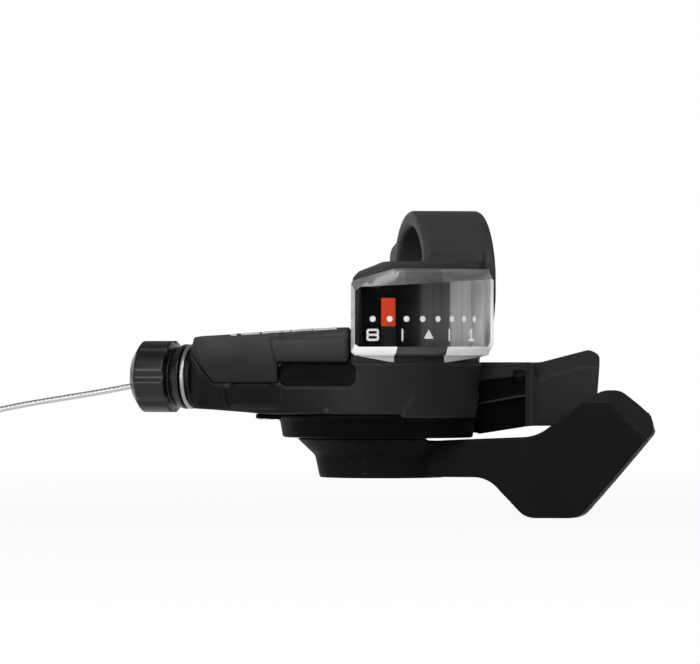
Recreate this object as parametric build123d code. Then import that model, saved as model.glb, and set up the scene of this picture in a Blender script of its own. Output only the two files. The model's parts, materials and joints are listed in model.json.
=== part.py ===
from build123d import *
import math
import os

# Trigger gear shifter for the right-hand end of a straight handlebar.
# Millimetres and degrees. Origin at the centre of the clamp bore, X along the bar
# to the rider's right, Y forward, Z up. Plan angles count from X towards Y.

# Clearances
PRESS_GAP = 0.02
RUN_GAP = 0.05
SEAM_GAP = 0.1
LOOSE_GAP = 0.3
CUT_OVER = 1.0

# Handlebar clamp
BAR_RADIUS = 11.1
CLAMP_WALL = 3.05
CLAMP_WIDTH = 13.6
CLAMP_EDGE = 0.8
BORE_CHAMFER = 0.5
BAR_ROOM = 0.4
SADDLE_WIDTH = 11.6
SADDLE_DEPTH = 18.0
LUG_WIDTH = 11.0
LUG_REACH = 22.0
LUG_HEIGHT = 14.0
LUG_EDGE = 2.5
LUG_ROOT = 13.1
SLIT_HEIGHT = 2.0

# Clamp bolt and nut
BOLT_Y = 17.4
BOLT_RADIUS = 2.45
BOLT_HEAD_RADIUS = 4.2
BOLT_HEAD_HEIGHT = 4.5
BOLT_SEAT_Z = -5.4
BOLT_SOCKET_FLATS = 4.0
BOLT_SOCKET_DEPTH = 2.6
NUT_FLATS = 8.0
NUT_HEIGHT = 3.6
NUT_SEAT_Z = 3.2

# Pivot and cable line
PIVOT_X = -12.5
PIVOT_Y = -2.0
CABLE_ANGLE = 148.5
CABLE_Z = -17.3
GROOVE_RADIUS = 17.0
WIRE_RADIUS = 0.55

# Drum of the housing
DRUM_RADIUS = 21.0
DRUM_WALL = 2.0
ROOF_TOP = -13.4
ROOF_THICKNESS = 1.6
DRUM_BOTTOM = -24.3
DOOR_START = -38.5
DOOR_END = 22.0
DOOR_RADIUS = 18.4
DOOR_SLANT = 3.6
CUP_DOOR_RADIUS = 16.4
CHEEK_START = -94.0
CHEEK_TOP = -20.5
CHEEK_BOTTOM = -25.1
CHEEK_INNER = 20.7
CHEEK_OUTER = 21.3
CHEEK_SLANT = 2.6

# Arm of the housing
NECK_LENGTH = 31.8
NECK_HALF_WIDTH = 6.6
NECK_CORNER = 2.5
NECK_END_RADIUS = 6.3
NECK_GAP = 0.8
NECK_TAPER = 1.6
NECK_SPREAD = 4.4
ARM_TOP_AT_DRUM = -7.9
ARM_TOP_AT_NECK = -10.0
ARM_TOP_FALL = 15.0
ARM_START = -0.2
KEEL_START = 16.0
KEEL_RISE = 1.2
CABLE_HOLE_RADIUS = 1.4
PANEL_DEPTH = 0.7
PANEL_INNER = 13.4
PANEL_OUTER = 23.8
PANEL_FOOT = 1.2
PANEL_CORNER = 1.5
NOTCH_DEPTH = 1.1
NOTCH_START = -1.6
NOTCH_FOOT_Z = -19.0
NOTCH_CORNER = 1.8

# Top cover
COVER_WALL = 1.6
COVER_BACK = -9.0
COVER_SKIRT_Z = -18.5
COVER_STEP_Z = -14.6
COVER_STEP = 13.4
COVER_SLANT_FOOT = 26.0
COVER_SLANT_TOP_Z = -12.0
COVER_PANEL_PROUD = 0.6
COVER_PANEL_TOP_Z = -10.0
COVER_PANEL_LEAN = 1.5

# Cover screw
COVER_SCREW_U = 8.0
COVER_SCREW_V = -4.0
COVER_SCREW_RADIUS = 1.2
COVER_SCREW_HEAD = 2.1
COVER_SCREW_HEAD_HEIGHT = 1.0
COVER_SCREW_LENGTH = 3.0
COVER_SCREW_SINK = 1.2

# Bottom cover
CUP_RADIUS = 19.5
CUP_WALL = 1.5
CUP_TAPER = 0.6
CUP_BOTTOM = -28.8
CUP_FLOOR = 1.5
RIM_RADIUS = 20.4
RIM_HEIGHT = 0.9
LUG_ANGLES = (45.0, 110.0, 178.0)
LUG_CENTRE = 22.3
COVER_LUG_RADIUS = 2.1
COVER_LUG_ROOT = 2.0
COVER_LUG_HEIGHT = 1.1
BOSS_RADIUS = 2.6
BOSS_TOP = -17.5
LUG_SCREW_RADIUS = 0.9
LUG_SCREW_HEAD = 1.5
LUG_SCREW_HEAD_HEIGHT = 0.6
LUG_SCREW_LENGTH = 6.0

# Gear display
GEAR_STEP = 9.4
FLAG_ANGLE = -100.2
FLAG_INNER = 18.45
FLAG_THICKNESS = 0.8
FLAG_WIDTH = 2.5
FLAG_TOP = -2.6
FLAG_BOTTOM = -7.8
LENS_RADIUS = 21.8
LENS_THICKNESS = 1.6
LENS_BEVEL = 1.1
DISPLAY_ANGLE = -76.0
DISPLAY_SPREAD = 44.0
LENS_TOP = 2.9
LENS_TOP_LEFT = 0.9
LENS_BOTTOM = -14.6
LENS_TAB = 1.3
LENS_TAB_STEP = 0.2
SEAT_OVER = 1.0
LENS_CORNER = 1.6
LENS_NOTCH_LEFT = -7.5
LENS_NOTCH_RIGHT = 2.5
SHELL_LIP = 2.4
SHELL_LIP_LEFT = 1.5
SHELL_BACK = 16.1
SHELL_SIDE = 2.0
BACKING_RADIUS = 18.1
BACKING_THICKNESS = 0.5
BACKING_SIDE_GAP = 0.2
WINDOW_TOP = 0.6
WINDOW_BOTTOM = -12.6
WINDOW_SIDE = 4.0
FLAG_SLOT_OUTER = 19.7
FLAG_SLOT_INNER = 18.15
FLAG_SPOKE_ROOT = 1.0

# Axle, bush and spool
AXLE_RADIUS = 3.0
AXLE_HEAD_RADIUS = 5.0
AXLE_HEAD_HEIGHT = 1.1
AXLE_BOTTOM = -34.5
BUSH_RADIUS = 4.5
BUSH_BOTTOM = -24.1
SPOOL_TOP = -15.3
SPOOL_RADIUS = 18.0
GROOVE_WIDTH = 1.6
RATCHET_TOP = -18.8
RATCHET_BOTTOM = -21.0
RATCHET_ROOT = 12.0
RATCHET_TIP = 13.3
TOOTH_LEAN = 1.5
TEETH = 8
PULL_TEETH_ANGLE = 62.0
HOLD_TEETH_ANGLE = 168.0
SPRING_POCKET_RADIUS = 11.2
SPRING_POCKET_TOP = -18.6
WRAP_START = 10.0
WRAP_SWEEP = 141.5
WIRE_HEAD_RADIUS = 1.9
WIRE_HEAD_LENGTH = 4.0
WIRE_HEAD_SHIFT = 0.9

# Pawls
PAWL_PIN_CENTRE = 15.6
PAWL_PIN_RADIUS = 1.1
PAWL_BOSS = 1.7
PAWL_TIP_CENTRE = 14.1
PAWL_TIP_RADIUS = 0.4
PAWL_SWEEP = 25.0
PAWL_TOP = -19.4
PAWL_THICKNESS = 1.5
PULL_PAWL_ANGLE = 60.0
HOLD_PAWL_ANGLE = 165.0
PAWL_SPRING_HEIGHT = 1.6
PAWL_SPRING_WIRE = 0.5
PAWL_SPRING_LEG = 3.0

# Pawl carrier
CARRIER_TOP = -24.3
CARRIER_THICKNESS = 1.2
CARRIER_FLATS = 10.0
CARRIER_HUB = 7.6
CARRIER_END = 1.9

# Flat coil springs
STRIP_TURNS = 2
STRIP_THICKNESS = 0.4
SPOOL_SPRING_INNER = 5.2
SPOOL_SPRING_PITCH = 2.4
SPOOL_SPRING_HEIGHT = 1.8
PULL_SPRING_INNER = 8.9
PULL_SPRING_PITCH = 0.8
PULL_SPRING_HEIGHT = 2.4
RELEASE_SPRING_INNER = 4.8
RELEASE_SPRING_PITCH = 1.4
RELEASE_SPRING_HEIGHT = 0.7

# Release lever, lengths from the pivot
RELEASE_ANGLE = -13.0
RELEASE_HUB_RADIUS = 8.5
RELEASE_PLATE_TOP = -21.4
RELEASE_PLATE_THICKNESS = 1.8
RELEASE_PLATE_WIDTH = 8.0
RELEASE_BLOCK_START = 18.8
RELEASE_TOP = -14.6
RELEASE_BOTTOM = -28.0
RELEASE_PAD_START = 28.0
RELEASE_PAD_TOP = -12.2
RELEASE_PAD_END = 41.0
RELEASE_PAD_FOOT = -26.6
RELEASE_PAD_HEEL = -21.2
RELEASE_FRONT = -7.0
RELEASE_ARM_THICKNESS = 8.0
RELEASE_PAD_FRONT = -8.0
RELEASE_PAD_THICKNESS = 4.6
RELEASE_PAD_STEP = 1.2
RELEASE_PAD_BEVEL = 2.8
RELEASE_PAD_HOLLOW = 1.2
RELEASE_BAND = 3.6
RELEASE_BAND_RISE = 1.0
RELEASE_PANEL_DEPTH = 0.6
RELEASE_RIB = 0.5
RELEASE_RECESS_DEPTH = 1.4
RELEASE_RECESS_TOP = -22.9
RELEASE_RECESS_RISE = 1.8
RELEASE_POCKET_LENGTH = 2.2
RELEASE_POCKET_TOP = -16.2
RELEASE_POCKET_HEIGHT = 2.4
RELEASE_WEB_ROOT = 2.0
RELEASE_TIP_RUN = 2.0
RELEASE_TIP_DROP = 1.0
RELEASE_HEEL_SLANT = 0.6
RELEASE_FOOT_RUN = 4.2
RELEASE_KEEL_DROP = 3.0
RELEASE_RISE_RUN = 1.8
RELEASE_BEND = 4.0
RELEASE_TIP_ROUND = 1.3
RELEASE_FOOT_ROUND = 1.5

# Pull lever, lengths from the pivot and heights from the top of its hub
PULL_ANGLE = -31.0
HUB_GAP = 0.2
HUB_TOP_RADIUS = 16.2
HUB_WAIST_RADIUS = 12.8
HUB_WAIST_DROP = 3.2
HUB_BOTTOM_RADIUS = 11.9
HUB_HEIGHT = 7.4
HUB_STEP = 0.7
HUB_STEP_ANGLE = -13.0
HUB_BOSS_RADIUS = 8.3
HUB_SINK_RADIUS = 6.2
HUB_SINK_DEPTH = 2.0
PULL_SPRING_WELL = 11.4
PULL_SPRING_DEPTH = 3.0
PULL_ARM_DROP = 0.9
PULL_ARM_FOOT = 7.2
PULL_ARM_HALF_WIDTH = 7.0
PADDLE_RISE_START = 31.4
PADDLE_RISE_UP = 0.5
PADDLE_UP = 9.2
PADDLE_TOP_LENGTH = 3.3
PADDLE_TIP_RUN = 7.1
PADDLE_TIP = 53.7
PADDLE_TIP_UP = 4.8
PADDLE_POINT_UP = 1.2
PADDLE_DOWN = 14.8
PADDLE_FOOT_START = 29.4
PADDLE_FOOT_RUN = 14.4
PADDLE_NECK = 22.1
PADDLE_FRONT = -4.4
PADDLE_THICKNESS = 4.0
PADDLE_HOLLOW = 1.5
PADDLE_TIP_SLANT = 1.0
PADDLE_RISE_ROUND = 8.0
PADDLE_TOP_ROUND = 3.5
PADDLE_TIP_ROUND = 2.8
PADDLE_POINT_ROUND = 1.1
PADDLE_TOP_BEVEL = 2.2
PADDLE_TIP_BEVEL = 3.0
BEVEL_LEAN = 45.0
PADDLE_FOOT_ROUND = 4.0
PADDLE_NECK_ROUND = 6.0
HIDDEN_ROUND = 0.5

# Pivot screw and washer
WASHER_RADIUS = 5.5
WASHER_THICKNESS = 0.6
PIVOT_SCREW_HEAD = 3.6
PIVOT_SCREW_HEAD_HEIGHT = 1.1
PIVOT_SCREW_RADIUS = 1.5
PIVOT_SCREW_LENGTH = 7.0
PIVOT_SOCKET_FLATS = 3.0
PIVOT_SOCKET_DEPTH = 0.7

# Barrel adjuster, lengths along the cable line
INSERT_RADIUS = 4.8
INSERT_LENGTH = 9.0
INSERT_FLANGE = 5.6
SCREW_RADIUS = 3.2
SCREW_DEPTH = 7.8
RING_RADIUS = 6.1
RING_THICKNESS = 0.9
COLLAR_RADIUS = 5.9
COLLAR_LENGTH = 2.0
KNOB_RADIUS = 6.85
KNOB_LENGTH = 8.2
KNOB_NOSE_RADIUS = 4.4
KNOB_NOSE_LENGTH = 1.7
KNOB_EDGE = 0.5
KNOB_LOBES = 8
KNOB_GROOVE_RADIUS = 1.2
KNOB_GROOVE_CENTRE = 7.55
KNOB_BORE = 1.2
SOCKET_RADIUS = 2.75
SOCKET_MOUTH = 0.7
SOCKET_DEPTH = 8.2
CLICK_SPRING_INNER = 3.6
CLICK_SPRING_OUTER = 4.7
CLICK_SPRING_HEIGHT = 1.4
CLICK_SPRING_GAP = 30.0

# Free wire: lengths along the cable line from the adjuster's socket, and drops below it
WIRE_ROUTE = (
    (0.0, 0.0),
    (10.0, 2.0),
    (20.5, 3.75),
    (31.5, 5.4),
    (42.0, 7.6),
    (52.0, 11.9),
    (60.5, 16.4),
    (66.0, 18.7),
)
BEND_SHARE = 0.45
COIL_RADIUS = 9.9
COIL_BUNDLE = 3.6
COIL_LEAD = 4.0
TIE_WALL = 0.6
TIE_WIDTH = 3.0
TIE_ROOM = 0.25

# Worked out from the sizes above
CLAMP_RADIUS = BAR_RADIUS + CLAMP_WALL
CHAMBER_RADIUS = DRUM_RADIUS - DRUM_WALL
ROOF_UNDERSIDE = ROOF_TOP - ROOF_THICKNESS
SHELL_BOTTOM = ROOF_TOP - ROOF_THICKNESS / 2
LENS_INNER = LENS_RADIUS - LENS_THICKNESS
LENS_TAB_RADIUS = LENS_RADIUS - LENS_BEVEL - LENS_TAB_STEP
DISPLAY_START = DISPLAY_ANGLE - DISPLAY_SPREAD
DISPLAY_END = DISPLAY_ANGLE + DISPLAY_SPREAD
HUB_TOP = CUP_BOTTOM - HUB_GAP
HUB_BOTTOM = HUB_TOP - HUB_HEIGHT
PULL_ARM_TOP = HUB_TOP - PULL_ARM_DROP
PULL_ARM_BOTTOM = HUB_TOP - PULL_ARM_FOOT
PADDLE_TOP = HUB_TOP + PADDLE_UP
PADDLE_TOP_END = PADDLE_TIP - PADDLE_TIP_RUN
PADDLE_TOP_START = PADDLE_TOP_END - PADDLE_TOP_LENGTH
PADDLE_FOOT_END = PADDLE_TIP - PADDLE_FOOT_RUN
PADDLE_BOTTOM = HUB_TOP - PADDLE_DOWN
CARRIER_BOTTOM = CARRIER_TOP - CARRIER_THICKNESS
PAWL_BOTTOM = PAWL_TOP - PAWL_THICKNESS
PAWL_PIN_TOP = PAWL_TOP + SEAM_GAP
PAWL_SPRING_TOP = PAWL_BOTTOM - SEAM_GAP
RELEASE_PLATE_BOTTOM = RELEASE_PLATE_TOP - RELEASE_PLATE_THICKNESS
RELEASE_ARM_END = RELEASE_PAD_START - RELEASE_PAD_STEP
BODY_END = NECK_LENGTH - NECK_GAP
SCREW_START = NECK_LENGTH - SCREW_DEPTH
RING_END = NECK_LENGTH + RING_THICKNESS
COLLAR_START = RING_END + LOOSE_GAP
KNOB_START = COLLAR_START + COLLAR_LENGTH
KNOB_END = KNOB_START + KNOB_LENGTH
WIRE_START = KNOB_END - SOCKET_DEPTH
FAR = 60.0


def at_pivot(shape, angle=0.0):
    """Move a shape from the pivot's frame, turned by a plan angle, to the part's frame."""
    return Pos(PIVOT_X, PIVOT_Y, 0) * Rot(0, 0, angle) * shape


def at_cable(shape):
    """Move a shape from the cable line's frame: x along the wire, y towards the rider."""
    return at_pivot(Pos(0, GROOVE_RADIUS, 0) * shape, CABLE_ANGLE)


def polar(radius, angle):
    """Plan place at a radius and angle from the pivot."""
    turn = math.radians(angle)
    return Pos(radius * math.cos(turn), radius * math.sin(turn), 0)


def disc(radius, bottom, top):
    return Pos(0, 0, bottom) * extrude(Circle(radius), top - bottom)


def ring(inner, outer, bottom, top):
    return Pos(0, 0, bottom) * extrude(Circle(outer) - Circle(inner), top - bottom)


def sector(inner, outer, start, end, bottom, top):
    """Ring segment between two plan angles."""
    middle = Pos((inner + outer) / 2, (bottom + top) / 2)
    section = Plane.XZ * middle * Rectangle(outer - inner, top - bottom)
    return Rot(0, 0, start) * revolve(section, Axis.Z, end - start)


def turned(points):
    """Solid of revolution about Z from radius and height values."""
    return revolve(Plane.XZ * make_face(Polyline(*points, close=True)), Axis.Z)


def rod(radius, start, end, height=0.0):
    """Round bar along x."""
    return Pos(start, 0, height) * extrude(Plane.YZ * Circle(radius), end - start)


def along_cable(shape):
    """Lay a shape made about Z along the cable line."""
    return at_cable(Pos(0, 0, CABLE_Z) * Rot(0, 90, 0) * shape)


def hex_bar(flats, bottom, top):
    hexagon = RegularPolygon(flats / 2, 6, major_radius=False)
    return Pos(0, 0, bottom) * extrude(hexagon, top - bottom)


def prism(face, start, end):
    """Solid with a face drawn in x and z, from one y to another."""
    return Pos(0, end, 0) * extrude(Plane.XZ * face, end - start)


def outline(*points):
    return make_face(Polyline(*points, close=True))


def rounded_outline(points, radii):
    return make_face(FilletPolyline(*points, radius=radii, close=True))


def strip_spring(inner, pitch, bottom, height):
    """Flat coil spring: a strip whose half turns are arcs of growing radius."""
    inside = []
    outside = []
    for half in range(2 * STRIP_TURNS):
        side = 1 if half % 2 == 0 else -1
        near = inner + half * pitch / 2
        far = near + pitch / 2
        for edges, grow in ((inside, 0.0), (outside, STRIP_THICKNESS)):
            first = (side * (near + grow), 0)
            last = (-side * (far + grow), 0)
            middle = (side * (near - far) / 2, side * ((near + far) / 2 + grow))
            edges.append(ThreePointArc(first, middle, last))
    ends = [Line(inside[0] @ 0, outside[0] @ 0), Line(inside[-1] @ 1, outside[-1] @ 1)]
    strip = make_face(inside + outside + ends)
    return Pos(0, 0, bottom) * extrude(strip, height)


def body_plan(inset):
    """Plan of drum and arm in the cable line's frame: a hull round both ends."""
    side = NECK_HALF_WIDTH - NECK_CORNER
    circles = [Pos(0, -GROOVE_RADIUS) * Circle(DRUM_RADIUS - inset)]
    for place in (side, -side):
        circles.append(Pos(BODY_END - NECK_CORNER, place) * Circle(NECK_CORNER - inset))
    return make_hull([edge for circle in circles for edge in circle.edges()])


def arm_top(along, across):
    """Height of the arm's sloping top at a place on the cable line's frame."""
    fall = math.tan(math.radians(ARM_TOP_FALL))
    run = (ARM_TOP_AT_NECK - ARM_TOP_AT_DRUM) / NECK_LENGTH
    return ARM_TOP_AT_DRUM + run * along + fall * (across - DRUM_RADIUS + GROOVE_RADIUS)


def top_plane(inset):
    """Plane of the arm's top, which falls towards the bar."""
    corner = Vector(0, 0, arm_top(0, 0))
    along = Vector(1, 0, arm_top(1, 0)) - corner
    across = Vector(0, 1, arm_top(0, 1)) - corner
    normal = along.cross(across).normalized()
    return Plane(origin=corner - normal * inset, z_dir=normal)


def keel_plane():
    """Plane of the arm's underside, which rises towards the neck."""
    run = KEEL_RISE / (NECK_LENGTH - KEEL_START)
    return Plane(origin=(KEEL_START, 0, DRUM_BOTTOM), z_dir=(-run, 0, 1))


def beyond(start):
    """Half space along the arm from a given length."""
    half_space = Box(FAR, 2 * FAR, 2 * FAR, align=(Align.MIN, Align.CENTER, Align.CENTER))
    return Pos(start, 0, 0) * half_space


def neck_trim(inset):
    """Space outside the arm's conical end, which is round about the cable line."""
    end = BODY_END - inset
    radius = NECK_END_RADIUS - inset
    shoulder = end - NECK_TAPER
    points = [
        (radius, end + LOOSE_GAP),
        (radius, end),
        (radius + NECK_SPREAD, shoulder),
        (FAR, shoulder),
        (FAR, end + LOOSE_GAP),
    ]
    return Pos(0, 0, CABLE_Z) * Rot(0, 90, 0) * turned(points)


def body_block(inset):
    """Drum and arm as one solid, with the raised top of the arm."""
    plan = body_plan(inset)
    low = Pos(0, 0, DRUM_BOTTOM) * extrude(plan, ROOF_TOP - inset - DRUM_BOTTOM)
    raised = Pos(0, 0, DRUM_BOTTOM) * extrude(plan, -DRUM_BOTTOM)
    raised = split(raised, bisect_by=top_plane(inset), keep=Keep.BOTTOM)
    block = low + (raised & beyond(ARM_START + inset))
    block = block - neck_trim(inset)
    return split(block, bisect_by=keel_plane(), keep=Keep.TOP)


def cover_zone(gap):
    """Space of the top cover above its parting line, as a prism across the arm."""
    zone = outline(
        (ARM_START + gap, COVER_STEP_Z + gap),
        (COVER_STEP + gap, COVER_STEP_Z + gap),
        (COVER_STEP + gap, COVER_SKIRT_Z + gap),
        (COVER_SLANT_FOOT - gap, COVER_SKIRT_Z + gap),
        (BODY_END - gap, COVER_SLANT_TOP_Z + gap),
        (BODY_END + FAR, COVER_SLANT_TOP_Z + gap),
        (BODY_END + FAR, FAR),
        (ARM_START + gap, FAR),
    )
    return prism(zone, COVER_BACK + gap, FAR)


def arm_recesses():
    """Sunk panel low on the arm and the notch under the cover, on the rider's side."""
    foot = DRUM_BOTTOM + PANEL_FOOT
    panel_points = [
        (PANEL_INNER, COVER_SKIRT_Z),
        (PANEL_OUTER, COVER_SKIRT_Z),
        (PANEL_OUTER, foot),
        (PANEL_INNER, foot),
    ]
    notch_points = [
        (NOTCH_START, COVER_STEP_Z),
        (COVER_STEP, COVER_STEP_Z),
        (COVER_STEP, NOTCH_FOOT_Z),
        (NOTCH_START, NOTCH_FOOT_Z),
    ]
    panel = prism(rounded_outline(panel_points, PANEL_CORNER), 0, FAR) - body_block(PANEL_DEPTH)
    notch = prism(rounded_outline(notch_points, NOTCH_CORNER), 0, FAR) - body_block(NOTCH_DEPTH)
    return [panel, notch]


def clamp_ring():
    """Ring round the bar with its two lugs behind, not yet bored."""
    outer = rod(CLAMP_RADIUS, -CLAMP_WIDTH / 2, CLAMP_WIDTH / 2)
    outer = fillet(outer.edges().filter_by(GeomType.CIRCLE), CLAMP_EDGE)
    half = LUG_HEIGHT / 2
    side = outline((0, -LUG_ROOT), (LUG_REACH, -half), (LUG_REACH, half), (0, LUG_ROOT))
    lugs = Pos(-LUG_WIDTH / 2, 0, 0) * extrude(Plane.YZ * side, LUG_WIDTH)
    lugs = fillet(lugs.faces().sort_by(Axis.Y)[-1].edges().filter_by(Axis.X), LUG_EDGE)
    return outer + lugs


def clamp_cuts():
    """Bore, slit, bolt hole, bolt seat and nut pocket of the clamp."""
    cuts = [rod(BAR_RADIUS, -CLAMP_WIDTH, CLAMP_WIDTH)]
    for side in (-1, 1):
        mouth = Cone(BAR_RADIUS + BORE_CHAMFER, BAR_RADIUS, BORE_CHAMFER)
        place = Pos(side * (CLAMP_WIDTH - BORE_CHAMFER) / 2, 0, 0)
        cuts.append(place * Rot(0, -90 * side, 0) * mouth)
    room = rod(BAR_RADIUS + BAR_ROOM, CLAMP_WIDTH / 2, FAR)
    cuts.extend([room, mirror(room, about=Plane.YZ)])
    slit = Box(CLAMP_WIDTH + CUT_OVER, FAR, SLIT_HEIGHT, align=(Align.CENTER, Align.MIN, Align.CENTER))
    hole = disc(BOLT_RADIUS + SEAM_GAP, -LUG_HEIGHT, LUG_HEIGHT)
    seat = disc(BOLT_HEAD_RADIUS + LOOSE_GAP, -LUG_HEIGHT, BOLT_SEAT_Z)
    pocket = hex_bar(NUT_FLATS + 2 * SEAM_GAP, NUT_SEAT_Z, LUG_HEIGHT)
    return cuts + [slit] + [Pos(0, BOLT_Y, 0) * cut for cut in (hole, seat, pocket)]


def display_reach():
    """Half width of the lens seen along the display's direction."""
    return LENS_RADIUS * math.sin(math.radians(DISPLAY_SPREAD))


def lens_outline():
    """Outline of the window seen along the display's direction."""
    reach = display_reach()
    foot = LENS_BOTTOM + LENS_TAB
    return outline(
        (-reach, LENS_TOP_LEFT - LENS_CORNER),
        (-reach + LENS_CORNER, LENS_TOP_LEFT),
        (LENS_NOTCH_LEFT, LENS_TOP),
        (reach - LENS_CORNER, LENS_TOP),
        (reach, LENS_TOP - LENS_CORNER),
        (reach, foot + LENS_CORNER),
        (reach - LENS_CORNER, foot),
        (-reach + LENS_CORNER, foot),
        (-reach, foot + LENS_CORNER),
    )


def lens_tabs():
    """Two tabs under the window, deepest beside the notch between them."""
    foot = LENS_BOTTOM + LENS_TAB
    body = sector(LENS_INNER, LENS_TAB_RADIUS, DISPLAY_START, DISPLAY_END, LENS_BOTTOM, foot + LENS_TAB)
    tabs = []
    for side, notch in ((-1, LENS_NOTCH_LEFT), (1, LENS_NOTCH_RIGHT)):
        corner = side * (display_reach() - LENS_CORNER)
        head = foot + LENS_TAB
        face = outline((corner, foot), (notch, LENS_BOTTOM), (notch, head), (corner, head))
        tabs.append(body & along_display(face))
    return tabs


def shell_outline():
    """Outline of the display shell, a lip larger than the lens at the top."""
    reach = display_reach()
    top = LENS_TOP + SHELL_LIP
    left_top = LENS_TOP_LEFT + SHELL_LIP_LEFT
    return outline(
        (-reach, SHELL_BOTTOM),
        (-reach, left_top - LENS_CORNER),
        (-reach + LENS_CORNER, left_top),
        (LENS_NOTCH_LEFT, top),
        (reach, top),
        (reach, SHELL_BOTTOM),
    )


def along_display(face):
    """Carry an outline along the display's direction, in the pivot's frame."""
    return Rot(0, 0, DISPLAY_ANGLE + 90) * prism(face, -FAR, 0)


def display_shell():
    """Shell behind the lens, joined to the clamp ring."""
    seat = LENS_INNER - RUN_GAP
    wall = sector(SHELL_BACK, seat, DISPLAY_START, DISPLAY_END, SHELL_BOTTOM, FAR)
    wall = wall & along_display(shell_outline())
    height = LENS_TOP + SHELL_LIP - SHELL_BOTTOM
    bridge = Box(CLAMP_WIDTH, SADDLE_DEPTH, height, align=(Align.CENTER, Align.MAX, Align.MIN))
    bridge = Pos(-SHELL_SIDE, 0, SHELL_BOTTOM) * bridge
    return at_pivot(wall) + (bridge & at_pivot(disc(seat, -FAR, FAR)))


def display_cuts():
    """Seat of the lens and room for the backing and the flag, in the pivot's frame."""
    start = DISPLAY_START + WINDOW_SIDE
    end = DISPLAY_END - WINDOW_SIDE
    behind = BACKING_RADIUS - BACKING_THICKNESS - PRESS_GAP
    window = sector(behind, FAR, start, end, WINDOW_BOTTOM, WINDOW_TOP)
    slot = sector(FLAG_SLOT_INNER, FLAG_SLOT_OUTER, start, end, RATCHET_TOP, WINDOW_TOP)
    foot = LENS_BOTTOM - SEAM_GAP
    seat = sector(LENS_INNER - RUN_GAP, FAR, DISPLAY_START - SEAT_OVER, DISPLAY_END + SEAT_OVER, foot, FAR)
    return [window, slot, seat]


def door(radius, foot):
    """Way out for the release lever."""
    return sector(radius, FAR, DOOR_START, DOOR_END, foot, ROOF_TOP)


def door_edge(foot):
    """Slanted front edge of the drum's door."""
    slant = outline((0, ROOF_TOP), (-DOOR_SLANT, foot), (DOOR_SLANT, foot))
    return Rot(0, 0, DOOR_START + 90) * prism(slant, -FAR, -DOOR_RADIUS)


def drum_cheek():
    """Low cheek of the drum beside the door, with a slanted end."""
    cheek = sector(CHEEK_INNER, CHEEK_OUTER, CHEEK_START, DOOR_START, CHEEK_BOTTOM, CHEEK_TOP)
    slant = outline((0, CHEEK_BOTTOM), (CHEEK_SLANT, CHEEK_TOP), (-CHEEK_SLANT, CHEEK_TOP))
    return cheek - Rot(0, 0, CHEEK_START + 90) * prism(slant, -FAR, 0)


def housing_blank():
    """Drum, arm, display shell and clamp joined, before they are hollowed."""
    block = body_block(0)
    for recess in arm_recesses():
        block = block - recess
    core = body_block(COVER_WALL + SEAM_GAP) & cover_zone(0)
    blank = at_cable(block - cover_zone(0) + core)
    for angle in LUG_ANGLES:
        boss = polar(LUG_CENTRE, angle) * disc(BOSS_RADIUS, DRUM_BOTTOM, BOSS_TOP)
        blank = blank + at_pivot(boss)
    blank = blank + at_pivot(drum_cheek())
    saddle = Box(SADDLE_WIDTH, SADDLE_DEPTH, -ROOF_TOP, align=(Align.CENTER, Align.CENTER, Align.MIN))
    return blank + Pos(0, 0, ROOF_TOP - RUN_GAP) * saddle + display_shell() + clamp_ring()


def main_housing():
    """Moulded body: drum, arm, display shell and clamp in one piece."""
    body = housing_blank()
    chamber = disc(CHAMBER_RADIUS, DRUM_BOTTOM - CUT_OVER, ROOF_UNDERSIDE)
    axle_hole = disc(AXLE_RADIUS + PRESS_GAP, DRUM_BOTTOM, ROOF_TOP)
    head_room = disc(AXLE_HEAD_RADIUS + LOOSE_GAP, ROOF_TOP, 0)
    way_out = [door(DOOR_RADIUS, CHEEK_BOTTOM - CUT_OVER), door_edge(CHEEK_BOTTOM - CUT_OVER)]
    for cut in [chamber, axle_hole, head_room, *way_out, *display_cuts()]:
        body = body - at_pivot(cut)
    for cut in clamp_cuts():
        body = body - cut
    wire_hole = rod(CABLE_HOLE_RADIUS, 0, FAR, CABLE_Z)
    sleeve = rod(INSERT_RADIUS + PRESS_GAP, NECK_LENGTH - INSERT_LENGTH, FAR, CABLE_Z)
    body = body - at_cable(wire_hole) - at_cable(sleeve)
    hole = disc(LUG_SCREW_RADIUS + PRESS_GAP, DRUM_BOTTOM - CUT_OVER, DRUM_BOTTOM + LUG_SCREW_LENGTH)
    for angle in LUG_ANGLES:
        body = body - at_pivot(polar(LUG_CENTRE, angle) * hole)
    return body - cover_screw_holes(COVER_SCREW_RADIUS + PRESS_GAP)


def cover_screw_seat():
    """Height of the cover screw's head, sunk below the sloping top."""
    return arm_top(COVER_SCREW_U, COVER_SCREW_V) - COVER_SCREW_SINK


def cover_screw_holes(shank):
    """Holes for the cover screw: a shank hole and the room for its head."""
    seat = cover_screw_seat()
    hole = disc(shank, seat - COVER_SCREW_LENGTH, seat)
    head = disc(COVER_SCREW_HEAD + SEAM_GAP, seat, 0)
    return at_cable(Pos(COVER_SCREW_U, COVER_SCREW_V, 0) * (hole + head))


def cover_screw():
    seat = cover_screw_seat()
    head = disc(COVER_SCREW_HEAD, seat, seat + COVER_SCREW_HEAD_HEIGHT)
    shank = disc(COVER_SCREW_RADIUS, seat - COVER_SCREW_LENGTH + SEAM_GAP, seat)
    return at_cable(Pos(COVER_SCREW_U, COVER_SCREW_V, 0) * (head + shank))


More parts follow.
